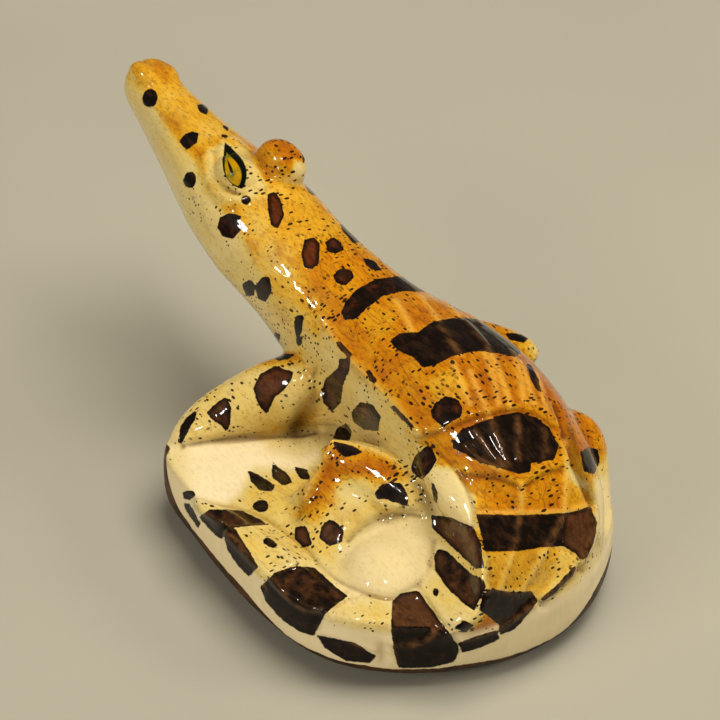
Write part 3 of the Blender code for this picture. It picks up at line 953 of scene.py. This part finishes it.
# laid over the stains: the deck beside the legs, its yellowed end, the hollow over
# it, and the low lump
BARE = (
    (0.06, 0.5, ((164, 446), (200, 444), (260, 440), (316, 438), (322, 456), (300, 468),
                 (254, 466), (240, 492), (226, 504), (170, 496))),
    (0.26, 1.4, ((156, 446), (184, 446), (190, 500), (156, 496))),
    (0.34, 0.9, ((262, 432), (322, 424), (330, 448), (300, 458), (270, 450))),
    (0.20, 1.2, ((346, 548), (372, 522), (420, 516), (432, 540), (428, 580), (400, 600),
                 (350, 592))),
)


# the stain's plain rule: its depth on sides, what tops add, how far up skin must face
# and how high it must lie for that, and the most stain on the low deck
SIDE_STAIN = 0.34
TOP_STAIN = 0.5
TOP_UP_BAND = (0.1, 0.75)
TOP_HEIGHTS_MM = (8.0, 12.0)
DECK_MM = 7.4
DECK_STAIN = 0.30

# where skin turns away from the picture, and the far deck behind the body
SEEN_BAND = (-0.14, 0.12)
FAR_DECK_HEIGHTS_MM = (7.9, 7.2)
FAR_DECK_FRONT_MM = (-10.0, -8.0)
FAR_DECK_SIDE_MM = (-4.0, -6.0)


def stain_field(skin):
    """Depth of stain: a plain rule by height and slope everywhere, then each
    outline mixed in over it with a soft edge."""
    x, y, height = skin.points.T
    stain = SIDE_STAIN + TOP_STAIN * smooth_step(*TOP_UP_BAND, skin.normals[:, 2]) * (
        smooth_step(*TOP_HEIGHTS_MM, height)
    )
    stain = np.where(height < DECK_MM, np.minimum(stain, DECK_STAIN), stain)
    seen = smooth_step(*SEEN_BAND, skin.facing)
    behind = smooth_step(*FAR_DECK_HEIGHTS_MM, height) * smooth_step(*FAR_DECK_FRONT_MM, x)
    seen = seen * (1 - behind * smooth_step(*FAR_DECK_SIDE_MM, y))
    for level, soft, outline in STAINS + BARE:
        share = smooth_step(-soft, soft, skin.in_outline(outline)) * seen
        stain = stain + (level - stain) * share
    return stain


def painted_shade_field(skin):
    """Painted shade: brown over the hollows, from each outline's depth with a soft edge."""
    shade = np.zeros(len(skin.points))
    for strength, soft, outline in PAINTED_SHADES:
        shade = np.maximum(shade, strength * smooth_step(-soft, soft, skin.in_outline(outline)))
    return shade * smooth_step(*SEEN_BAND, skin.facing)


# bend of the skin: softening passes, what each keeps, and the bend that counts full
BEND_PASSES = 3
BEND_KEPT = 0.4
FULL_BEND_MM = 0.03


def crest_field(skin, edges):
    """From -1 in hollows to 1 on crests: how far each point stands over the mean of
    its neighbours, softened."""
    over = skin.points - neighbour_mean(skin.points, edges)
    bend = np.einsum("ij,ij->i", over, skin.normals)
    for _ in range(BEND_PASSES):
        mean = neighbour_mean(bend[:, None], edges)[:, 0]
        bend = BEND_KEPT * bend + (1 - BEND_KEPT) * mean
    return np.clip(bend / FULL_BEND_MM, -1, 1)


# flecks: the stain and height from which they show, and how they thin out on pale
# skin and along the snout
FLECK_STAIN = (0.10, 0.40)
FLECK_HEIGHTS_MM = (5.2, 6.2)
FLECK_PALE = 0.86
FLECK_FULL_STAIN = (0.36, 0.6)
FLECK_SNOUT = 0.25
FLECK_SNOUT_MM = (36.0, 28.0)


def fleck_field(skin, stain):
    """How large the flecks are, by stain, height and place along the snout."""
    fleck = smooth_step(*FLECK_STAIN, stain) * smooth_step(*FLECK_HEIGHTS_MM, skin.points[:, 2])
    fleck *= FLECK_PALE + (1 - FLECK_PALE) * smooth_step(*FLECK_FULL_STAIN, stain)
    along = smooth_step(*FLECK_SNOUT_MM, skin.points[:, 0])
    return fleck * (FLECK_SNOUT + (1 - FLECK_SNOUT) * along)


# brown rind, the nut's own skin, whose dark band along the floor is also painted
# contact shadow: its top edge, how much higher it runs away from the tail's side and on
# the right, and the place, height and width of the peak beside the foreleg
RIND_TOP_MM = 2.1
RIND_CLIMB_MM = 1.0
RIND_CLIMB_BAND_MM = (14.5, 8.0)
TAIL_SIDE = np.array((-0.82, 0.57))
RIND_RIGHT_MM = 0.7
RIND_RIGHT_BAND_MM = (0.0, -8.0)
RIND_PEAK = np.array((17.2, 15.4))
RIND_PEAK_MM = 3.6
RIND_PEAK_WIDTH_MM = 2.6


def rind_and_contact_shadow_field(skin):
    """Depth below the rind's top edge, negative above it."""
    flat = skin.points[:, :2]
    outward = (flat - NUT_MIDDLE) @ TAIL_SIDE
    top = RIND_TOP_MM + RIND_CLIMB_MM * smooth_step(*RIND_CLIMB_BAND_MM, outward)
    top += RIND_RIGHT_MM * smooth_step(*RIND_RIGHT_BAND_MM, flat[:, 1])
    top += RIND_PEAK_MM * bell(np.linalg.norm(flat - RIND_PEAK, axis=1), RIND_PEAK_WIDTH_MM)
    return top - skin.points[:, 2]


# the sawn wall: under this height, where the skin is steep
WALL_HEIGHTS_MM = (6.4, 5.6)
WALL_UP_BAND = (0.6, 0.3)
# how much of the stain and painted shade in cuts and at lips' feet goes into the shade
CREASE_STAIN_AND_SHADE_SHARE = 0.6


def skin_fields(skin, edges, worn, crease_stain_and_shade):
    """Everything the material needs to know at each point."""
    spot, redness = dark_fields(skin)
    stain = stain_field(skin)
    wall = smooth_step(*WALL_HEIGHTS_MM, skin.points[:, 2])
    wall *= smooth_step(*WALL_UP_BAND, skin.normals[:, 2])
    return {
        "spot": spot,
        "redness": redness,
        "stain": stain,
        "crest": crest_field(skin, edges),
        "wall": wall,
        "fleck": fleck_field(skin, stain),
        "rind": rind_and_contact_shadow_field(skin),
        # painted shade from the outlines, and the stain and painted shade in cuts and at lips'
        # feet
        "shade": np.maximum(painted_shade_field(skin), CREASE_STAIN_AND_SHADE_SHARE * crease_stain_and_shade),
        "worn": worn,
    }


def carving():
    """The finished skin as one mesh object with its fields as attributes."""
    points, quads, edges = plain_skin()
    skin = Skin(points, quads)
    raise_plates(skin)
    lapped = raise_lips(skin)
    worn, cut_in = raise_ridges(skin)
    fields = skin_fields(skin, edges, worn, np.maximum(lapped, cut_in))
    skin.points[skin.points[:, 2] < 0, 2] = 0.0
    item = new_mesh("carved_crocodile", skin.points, quads.tolist())
    for name, values in fields.items():
        layer = item.data.attributes.new(name, "FLOAT", "POINT")
        layer.data.foreach_set("value", values.astype(np.float32))
    item.data.polygons.foreach_set("use_smooth", np.ones(len(quads), dtype=bool))
    return item


# colours and node helpers
def paint(red, green, blue):
    """Linear colour of a screen colour."""
    return tuple(((c / 255 + 0.055) / 1.055) ** 2.4 for c in (red, green, blue)) + (1.0,)


class Nodes:
    """Short calls for laying out a material's nodes."""

    def __init__(self, material):
        material.use_nodes = True
        self.tree = material.node_tree
        self.tree.nodes.clear()

    def add(self, kind, values=(), **settings):
        """A node with its settings, and its inputs set or linked by name or number."""
        node = self.tree.nodes.new(kind)
        for name, value in settings.items():
            setattr(node, name, value)
        for key, value in dict(values).items():
            if hasattr(value, "is_output"):
                self.tree.links.new(value, node.inputs[key])
            else:
                node.inputs[key].default_value = value
        return node

    def field(self, name):
        """A surface attribute as a number."""
        return self.add("ShaderNodeAttribute", attribute_name=name).outputs["Fac"]

    def math(self, kind, a, b=0.0, c=0.0):
        """One sum on up to three numbers."""
        return self.add("ShaderNodeMath", {0: a, 1: b, 2: c}, operation=kind).outputs[0]

    def ramp(self, value, low, high, start=0.0, end=1.0):
        """An S curve from start at low to end at high."""
        node = self.add("ShaderNodeMapRange", {
            "Value": value, "From Min": low, "From Max": high, "To Min": start, "To Max": end,
        }, interpolation_type="SMOOTHSTEP")
        return node.outputs["Result"]

    def times(self, a, b):
        """Product of two numbers."""
        return self.math("MULTIPLY", a, b)

    def swayed(self, value, cloud, amount):
        """A value plus the amount times how far the cloud is from one half."""
        return self.math("MULTIPLY_ADD", self.math("SUBTRACT", cloud, 0.5), amount, value)

    def mix(self, share, a, b):
        """Two colours mixed by a share."""
        return self.add("ShaderNodeMix", {0: share, 6: a, 7: b}, data_type="RGBA").outputs[2]

    def stretched(self, place, scale):
        """A place with each axis scaled; a pattern grows longer along a small scale."""
        return self.add("ShaderNodeMapping", {"Vector": place, "Scale": scale}).outputs[0]

    def noise(self, where, scale, detail=2.0, roughness=0.5):
        """Cloudy noise with the number of waves a metre given by scale."""
        node = self.add("ShaderNodeTexNoise", {
            "Vector": where, "Scale": scale, "Detail": detail, "Roughness": roughness,
        })
        return node.outputs["Fac"]

    def colours(self, value, stops):
        """A colour ramp."""
        node = self.add("ShaderNodeValToRGB", {"Fac": value})
        band = node.color_ramp.elements
        band[0].position, band[0].color = stops[0][0], stops[0][1]
        band[1].position, band[1].color = stops[-1][0], stops[-1][1]
        for place, colour in stops[1:-1]:
            band.new(place).color = colour
        return node.outputs["Color"]


# the stain's colours by its depth, the sawn wall's, and those laid over them
IVORY_TO_AMBER = (
    (0.00, paint(242, 224, 181)),
    (0.20, paint(228, 206, 150)),
    (0.36, paint(218, 193, 118)),
    (0.50, paint(220, 186, 90)),
    (0.62, paint(220, 166, 44)),
    (0.74, paint(206, 145, 22)),
    (0.81, paint(202, 129, 6)),
    (0.89, paint(180, 101, 4)),
    (1.00, paint(142, 72, 4)),
)
WALL_GRAIN = ((0.20, paint(230, 211, 168)), (0.80, paint(236, 218, 176)))
SCRATCH_BROWN = paint(120, 62, 12)
MOTTLE_BROWN = paint(164, 92, 20)
HAIRLINE_BROWN = paint(112, 58, 14)
# brown of stain gathered in the hollows, and painted shade there
POOLED_STAIN_AND_SHADE_BROWN = paint(132, 82, 34)
# brown of the painted shade
PAINTED_SHADE_BROWN = paint(74, 44, 8)
RUBBED_GOLD = paint(232, 176, 74)
# browns of the rind, which along the floor also stand in for contact shadow
BARK_AND_SHADOW_DARK, BARK_AND_SHADOW_LIGHT = paint(42, 27, 16), paint(86, 56, 32)
FLECK_BROWN = paint(26, 14, 6)

# spots: black, the warm brown of low and of high ones, the low ones greyer by painted
# sheen, and the grain on both
SPOT_BLACK = paint(16, 8, 3)
LOW_BROWN_AND_SHEEN, HIGH_BROWN = paint(80, 48, 24), paint(90, 36, 6)
GRAIN_DARK, GRAIN_LIGHT = paint(40, 20, 8), paint(124, 82, 50)
STREAK_BROWN = paint(92, 60, 36)
WORN_BROWN = paint(150, 100, 52)

# noises, in waves a metre, and how far the grain runs along the body
CLOUD_WAVES = 260.0
STREAK_WAVES = 1500.0
SCRATCH_WAVES = 3600.0
WALL_GRAIN_WAVES = 2400.0
MOTTLE_WAVES = 480.0
HAIRLINE_WAVES = 900.0
BARK_WAVES = 700.0
SPOT_EDGE_WAVES = 1500.0
SPOT_WARMTH_WAVES = 800.0
FLECK_CELLS = 2550.0
FLECK_CLOUD_WAVES = 210.0
FLECK_TURN_WAVES = 170.0
FACET_WAVES = 420.0
FILM_WAVES = 1100.0
ALONG_BODY = (0.45, 1.0, 1.0)
HAIR_THIN = (0.14, 1.0, 1.0)
UPRIGHT = (1.0, 1.0, 0.16)
FLECK_STROKES = ((0.50, 1.0, 1.0), (1.0, 0.50, 1.0))

# lengths in metres on the finished surface: heights of its bumps, and the band of
# height in which a spot's warm brown turns from the low to the high tone
FACET_TALL = 0.00019
STREAK_TALL = 0.00007
RAGGED_TALL = 0.00004
HAIRLINE_DEEP = -0.00005
SCRATCH_TALL = 0.000018
WALL_GRAIN_TALL = 0.00002
SPOT_TALL = 0.00002
FILM_TALL = 0.00009
WARM_BAND = (0.009, 0.015)
BUMP_STRENGTH = 0.8


class NutNodes(Nodes):
    """The nut finish's nodes, with the places, fields and noises its layers share."""

    def __init__(self, material):
        super().__init__(material)
        self.place = self.add("ShaderNodeTexCoord").outputs["Object"]
        self.along = self.stretched(self.place, ALONG_BODY)
        self.stain, self.wall = self.field("stain"), self.field("wall")
        self.crest, self.worn = self.field("crest"), self.field("worn")
        self.cloud = self.noise(self.place, CLOUD_WAVES, 3.0)
        self.streak = self.noise(self.along, STREAK_WAVES, 3.0, 0.6)
        self.fine = self.noise(self.along, SCRATCH_WAVES, 4.0, 0.7)
        upright = self.stretched(self.place, UPRIGHT)
        self.grain = self.noise(upright, WALL_GRAIN_WAVES, 3.0, 0.6)


def hairlines(make):
    """Thin cut lines where the stain is deep: where a noise crosses one half."""
    wave = make.noise(make.stretched(make.place, HAIR_THIN), HAIRLINE_WAVES, 0.0)
    off = make.math("ABSOLUTE", make.math("SUBTRACT", wave, 0.5))
    return make.times(make.ramp(off, 0.0, 0.020, 1.0, 0.0), make.ramp(make.stain, 0.66, 0.84))


def stained_nut(make, cut):
    """The stain field through the colour ramp, clouded, streaked and made paler on
    crests, by thinner stain and painted light; over it scratches, mottling, hairlines,
    hollows darkened by stain gathered there and painted shade, the painted shade of
    the outlines, rubbed ridges, and the sawn wall's long grain."""
    stain = make.stain
    shift = make.swayed(make.swayed(stain, make.cloud, 0.34), make.streak, 0.20)
    # paler on crests: thinner stain there, and painted light
    crest_stain_and_light = make.times(make.crest, make.ramp(stain, 0.25, 0.6, 0.02, 0.16))
    shift = make.math("SUBTRACT", shift, crest_stain_and_light)
    plain = make.swayed(stain, make.cloud, 0.10)
    shift = make.mix(make.ramp(stain, 0.2, 0.4), plain, shift)
    base = make.colours(shift, IVORY_TO_AMBER)

    mottle = make.ramp(make.noise(make.along, MOTTLE_WAVES, 4.0, 0.65), 0.50, 0.70)
    # darker in the hollows: stain gathered there, and painted shade
    pooled_stain_and_shade = make.times(make.ramp(make.crest, -0.25, -0.95), make.math("SUBTRACT", 1.0, make.wall))
    layers = (
        (make.times(make.ramp(make.fine, 0.46, 0.72), make.ramp(stain, 0.22, 0.80, 0.14, 0.78)),
         SCRATCH_BROWN),
        (make.times(mottle, make.ramp(stain, 0.34, 0.62, 0.0, 0.56)), MOTTLE_BROWN),
        (make.times(cut, 0.38), HAIRLINE_BROWN),
        (make.times(pooled_stain_and_shade, 0.40), POOLED_STAIN_AND_SHADE_BROWN),
        # painted shade from the outlines
        (make.field("shade"), PAINTED_SHADE_BROWN),
        (make.times(make.worn, make.ramp(stain, 0.5, 0.7, 0.0, 0.55)), RUBBED_GOLD),
        (make.times(make.wall, 0.85), make.colours(make.grain, WALL_GRAIN)),
    )
    for share, colour in layers:
        base = make.mix(share, base, colour)
    return base


def rind_and_contact_shadow_mask(make):
    """Where the brown rind shows, also painted contact shadow along the floor: the rind
    field's edge, made ragged by both noises.
    """
    ragged = make.swayed(make.swayed(make.field("rind"), make.streak, 0.3), make.cloud, 0.9)
    return make.ramp(ragged, -0.06, 0.08)


def stroke_cells(make, stretch):
    """Small dark strokes: cells of a cell pattern squeezed along one way, each with
    its own size by chance, and smaller where the fleck field is low."""
    where = make.stretched(make.place, stretch)
    cells = make.add("ShaderNodeTexVoronoi", {
        "Vector": where, "Scale": FLECK_CELLS, "Randomness": 1.0,
    })
    chance = make.add("ShaderNodeSeparateColor", {"Color": cells.outputs["Color"]}).outputs["Red"]
    size = make.times(make.ramp(chance, 0.16, 0.42, 0.0, 0.34), make.field("fleck"))
    cloud = make.noise(make.place, FLECK_CLOUD_WAVES, 2.0)
    size = make.times(size, make.ramp(cloud, 0.36, 0.56, 0.45, 1.0))
    return make.ramp(make.math("SUBTRACT", size, cells.outputs["Distance"]), -0.03, 0.03)


def flecks(make):
    """Strokes that run along the body in some places and across it in others."""
    swap = make.ramp(make.noise(make.place, FLECK_TURN_WAVES, 1.0), 0.47, 0.53)
    return make.times(make.mix(swap, *(stroke_cells(make, way) for way in FLECK_STROKES)), 0.96)


def spot_colour(make, edge):
    """Black, warm brown inwards where the redness and a noise are high, with dark and
    light grain on the brown, and rubbed streaks over both."""
    warmth = make.noise(make.place, SPOT_WARMTH_WAVES, 4.0, 0.6)
    warmth = make.math("MULTIPLY_ADD", make.field("redness"), 0.6, warmth)
    warm = make.times(make.ramp(warmth, 0.76, 1.14), make.ramp(edge, 0.0, 0.52))
    height = make.add("ShaderNodeSeparateXYZ", {0: make.place}).outputs["Z"]
    # low spots greyer: their brown with painted sheen over it
    brown = make.mix(make.ramp(height, *WARM_BAND), LOW_BROWN_AND_SHEEN, HIGH_BROWN)
    brown = make.mix(make.ramp(make.streak, 0.30, 0.56, 0.45, 0.0), brown, GRAIN_DARK)
    brown = make.mix(make.ramp(make.fine, 0.46, 0.70, 0.0, 0.30), brown, GRAIN_LIGHT)
    dark = make.mix(warm, SPOT_BLACK, brown)
    dark = make.mix(make.ramp(make.streak, 0.44, 0.72, 0.0, 0.17), dark, STREAK_BROWN)
    worn = make.times(make.worn, make.ramp(make.streak, 0.35, 0.65, 0.1, 0.8))
    return make.mix(make.times(worn, 0.48), dark, WORN_BROWN)


# painted eyes: for the near one the picture points of its ends, for the far one its
# middle, the way it looks in, the way its length is squared to, and its length; then
# how far before its plane and behind it the paint reaches
EYE_TOP, EYE_FOOT = (222.5, 136.0), (243.5, 191.0)
FAR_EYE_MIDDLE = np.array((27.2, -3.6, 22.9))
FAR_EYE_AHEAD = np.array((0.10, 0.96, -0.26))
FAR_EYE_RISE = (0.25, 0.0, 1.0)
FAR_EYE_LENGTH_MM = 3.9
EYE_FRONT_MM = (-4.0, -3.5)
EYE_FADE_MM = 0.5
NEAR_EYE_BACK_MM = 4.0
FAR_EYE_BACK_MM = 0.4
EYE_DARK = paint(12, 16, 7)
IRIS_GOLD, IRIS_GREEN = paint(184, 138, 6), paint(126, 116, 10)
PUPIL_DARK = paint(18, 16, 6)
IRIS_WAVES = 900.0

# almonds, in shares of the eye's length: start, end, half width, shift across
EYE_ALMOND = (0.0, 1.0, 0.204, -0.007)
IRIS_ALMOND = (0.22, 0.93, 0.143, -0.048)
PUPIL_ALMOND = (0.34, 0.74, 0.037, -0.068)


def near_eye_frame():
    """Top corner, way down the eye, way across, way in, and the eye's length."""
    long_way = np.subtract(EYE_FOOT, EYE_TOP)
    length = np.hypot(*long_way)
    long_way = long_way / length
    down = ACROSS * long_way[0] - UPWARD * long_way[1]
    over = ACROSS * long_way[1] + UPWARD * long_way[0]
    top = EYE_POINT + sight_line(*EYE_TOP) * EYE_RANGE_MM
    return top, down, over, AHEAD, length / PX_PER_MM


def far_eye_frame():
    """The same for the eye on the right, which looks out sideways."""
    ahead = FAR_EYE_AHEAD / np.linalg.norm(FAR_EYE_AHEAD)
    down = np.cross(ahead, FAR_EYE_RISE)
    down /= np.linalg.norm(down)
    over = np.cross(ahead, down)
    top = FAR_EYE_MIDDLE - 0.5 * FAR_EYE_LENGTH_MM * down
    return top, down, over, ahead, FAR_EYE_LENGTH_MM


def painted_eye(make, base, frame_of_eye, back):
    """An eye drawn by formula. Along the eye runs s from 0 to 1; the dark almond is
    where the distance across is under its half width times sin(pi s^1.5)^0.7, the
    iris is a smaller almond in it, the pupil a thin one on that."""
    top, down, over, ahead, length = frame_of_eye
    away = make.add("ShaderNodeVectorMath", {0: make.place, 1: tuple(top * MM)},
                    operation="SUBTRACT").outputs[0]

    def share(axis, scale):
        dot = make.add("ShaderNodeVectorMath", {0: away, 1: tuple(axis)}, operation="DOT_PRODUCT")
        return make.times(dot.outputs["Value"], scale)

    s, v = share(down, 1 / (length * MM)), share(over, 1 / (length * MM))
    deep = share(ahead, 1 / MM)
    near = make.times(make.ramp(deep, *EYE_FRONT_MM), make.ramp(deep, back, back - EYE_FADE_MM))

    def almond(low, high, half, shift):
        t = make.math("DIVIDE", make.math("SUBTRACT", s, low), high - low)
        t = make.math("MINIMUM", make.math("MAXIMUM", t, 0.0), 1.0)
        arch = make.math("SINE", make.times(make.math("POWER", t, 1.5), math.pi))
        reach = make.times(make.math("POWER", make.math("MAXIMUM", arch, 0.0), 0.7), half)
        off = make.math("ABSOLUTE", make.math("SUBTRACT", v, shift))
        return make.times(make.ramp(make.math("SUBTRACT", reach, off), 0.002, 0.018), near)

    whole = almond(*EYE_ALMOND)
    base = make.mix(whole, base, EYE_DARK)
    clouds = make.ramp(make.noise(make.place, IRIS_WAVES, 2.0), 0.45, 0.62)
    base = make.mix(almond(*IRIS_ALMOND), base, make.mix(clouds, IRIS_GOLD, IRIS_GREEN))
    return make.mix(almond(*PUPIL_ALMOND), base, PUPIL_DARK), whole


def bumped(make, layers):
    """Normal of the summed layers, each a height over the surface times its size."""
    tall = 0.0
    for height, size in layers:
        tall = make.math("MULTIPLY_ADD", height, size, tall)
    bump = make.add("ShaderNodeBump", {"Height": tall, "Strength": BUMP_STRENGTH, "Distance": 1.0})
    return bump.outputs["Normal"]


def lacquered_nut():
    """Stained nut under clear lacquer. Dark spots are where the spot depth, roughened
    by noise, is above zero. Under the lacquer lie cut facets, streaks and scratches;
    its own surface is smoother, and it is thin on the wall, the rind and the eyes."""
    material = bpy.data.materials.new("lacquered_nut_finish")
    make = NutNodes(material)
    cut = hairlines(make)
    rind = rind_and_contact_shadow_mask(make)
    ragged = make.math("SUBTRACT", make.noise(make.place, SPOT_EDGE_WAVES, 4.0, 0.7), 0.5)
    edge = make.math("MULTIPLY_ADD", ragged, 0.30, make.field("spot"))
    inside = make.ramp(edge, -0.035, 0.035)

    base = stained_nut(make, cut)
    # the nut's brown rind, which along the floor is also painted contact shadow
    bark = make.ramp(make.noise(make.along, BARK_WAVES, 5.0, 0.7), 0.35, 0.7)
    base = make.mix(rind, base, make.mix(bark, BARK_AND_SHADOW_DARK, BARK_AND_SHADOW_LIGHT))
    base = make.mix(flecks(make), base, FLECK_BROWN)
    base = make.mix(inside, base, spot_colour(make, edge))
    base, near_eye = painted_eye(make, base, near_eye_frame(), NEAR_EYE_BACK_MM)
    base, far_eye = painted_eye(make, base, far_eye_frame(), FAR_EYE_BACK_MM)

    facets = make.noise(make.along, FACET_WAVES, 1.0)
    under = bumped(make, (
        (facets, FACET_TALL),
        (make.streak, STREAK_TALL),
        (ragged, RAGGED_TALL),
        (cut, HAIRLINE_DEEP),
        (make.fine, SCRATCH_TALL),
        (make.times(make.grain, make.wall), WALL_GRAIN_TALL),
        (inside, SPOT_TALL),
    ))
    film = bumped(make, (
        (facets, FACET_TALL),
        (make.noise(make.along, FILM_WAVES, 1.0), FILM_TALL),
        (inside, SPOT_TALL),
    ))
    rough = make.ramp(make.streak, 0.2, 0.8, 0.28, 0.44)
    rough = make.math("MULTIPLY_ADD", make.wall, 0.15, rough)
    coat = make.ramp(make.stain, 0.10, 0.30, 0.45, 1.0)
    eyes = make.math("MAXIMUM", near_eye, far_eye)
    for mask, thinner in ((make.wall, -0.55), (eyes, -0.85), (rind, -0.6)):
        coat = make.times(coat, make.math("MULTIPLY_ADD", mask, thinner, 1.0))
    shader = make.add("ShaderNodeBsdfPrincipled", {
        "Base Color": base,
        "Roughness": rough,
        "IOR": 1.4,
        "Specular IOR Level": 0.06,
        "Normal": under,
        "Coat Weight": coat,
        "Coat Roughness": 0.06,
        "Coat IOR": 1.36,
        "Coat Normal": film,
    })
    make.add("ShaderNodeOutputMaterial", {"Surface": shader.outputs["BSDF"]})
    return material


# the floor: half its width, and the soft tones of its paper
FLOOR_HALF_MM = 1500
PAPER_WAVES = 12.0
PAPER = ((0.3, paint(168, 163, 146)), (0.7, paint(176, 171, 153)))


def paper_floor():
    """Plain pale floor."""
    far = FLOOR_HALF_MM
    item = new_mesh("floor", [(-far, -far, 0), (far, -far, 0), (far, far, 0), (-far, far, 0)],
                    [(0, 1, 2, 3)])
    material = bpy.data.materials.new("floor_paper")
    make = Nodes(material)
    place = make.add("ShaderNodeTexCoord").outputs["Object"]
    base = make.colours(make.noise(place, PAPER_WAVES, 2.0), PAPER)
    shader = make.add("ShaderNodeBsdfPrincipled", {"Base Color": base, "Roughness": 0.9})
    make.add("ShaderNodeOutputMaterial", {"Surface": shader.outputs["BSDF"]})
    item.data.materials.append(material)
    return item


def viewpoint():
    """Camera where the picture was taken from."""
    data = bpy.data.cameras.new("viewpoint")
    data.sensor_width = SENSOR_MM
    data.lens = FOCAL_PX / FRAME_PX * SENSOR_MM
    data.clip_start = 0.01
    data.clip_end = 20.0
    item = bpy.data.objects.new("viewpoint", data)
    item.location = Vector(EYE_POINT * MM)
    item.rotation_euler = Vector(AHEAD).to_track_quat("-Z", "Y").to_euler()
    bpy.context.scene.collection.objects.link(item)
    bpy.context.scene.camera = item


# name, place and size in millimetres, watts, colour; soft lights only brighten, and
# glints only mirror in the lacquer
SOFT_LIGHTS = (
    ("ceiling", (-40, -140, 520), 360, 3.0, (1.0, 0.95, 0.86)),
    ("side window", (-330, -420, 300), 160, 1.1, (1.0, 0.95, 0.87)),
    ("left fill", (-60, 380, 150), 260, 0.90, (1.0, 0.95, 0.87)),
)
GLINTS = (
    ("far window", (131, 301, 324), 46, 0.58, (1.0, 0.97, 0.90)),
    ("high window", (-10, 140, 437), 38, 0.42, (1.0, 0.97, 0.92)),
    ("low window", (-80, 432, 104), 38, 0.22, (1.0, 0.97, 0.92)),
)
ROOM_COLOUR = (1.0, 0.94, 0.84, 1.0)
ROOM_STRENGTH = 0.08


def area_light(name, place, size, power, colour):
    """Square area light aimed at the carving's middle."""
    data = bpy.data.lights.new(name, "AREA")
    data.size = size * MM
    data.energy = power
    data.color = colour
    item = bpy.data.objects.new(name, data)
    item.location = Vector(place) * MM
    item.rotation_euler = (Vector(LOOK_AT) - Vector(place)).to_track_quat("-Z", "Y").to_euler()
    bpy.context.scene.collection.objects.link(item)
    return item


def studio():
    """Soft light mainly from the upper left of the picture, and a dim room."""
    for row in SOFT_LIGHTS:
        area_light(*row).visible_glossy = False
    for row in GLINTS:
        area_light(*row).visible_diffuse = False
    world = bpy.data.worlds.new("room")
    world.use_nodes = True
    ground = world.node_tree.nodes["Background"]
    ground.inputs["Color"].default_value = ROOM_COLOUR
    ground.inputs["Strength"].default_value = ROOM_STRENGTH
    bpy.context.scene.world = world
    bpy.context.scene.view_settings.view_transform = "Standard"


crocodile = carving()
crocodile.data.materials.append(lacquered_nut())
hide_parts("crocodile_carving")
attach(crocodile, "root")
paper_floor()
viewpoint()
studio()
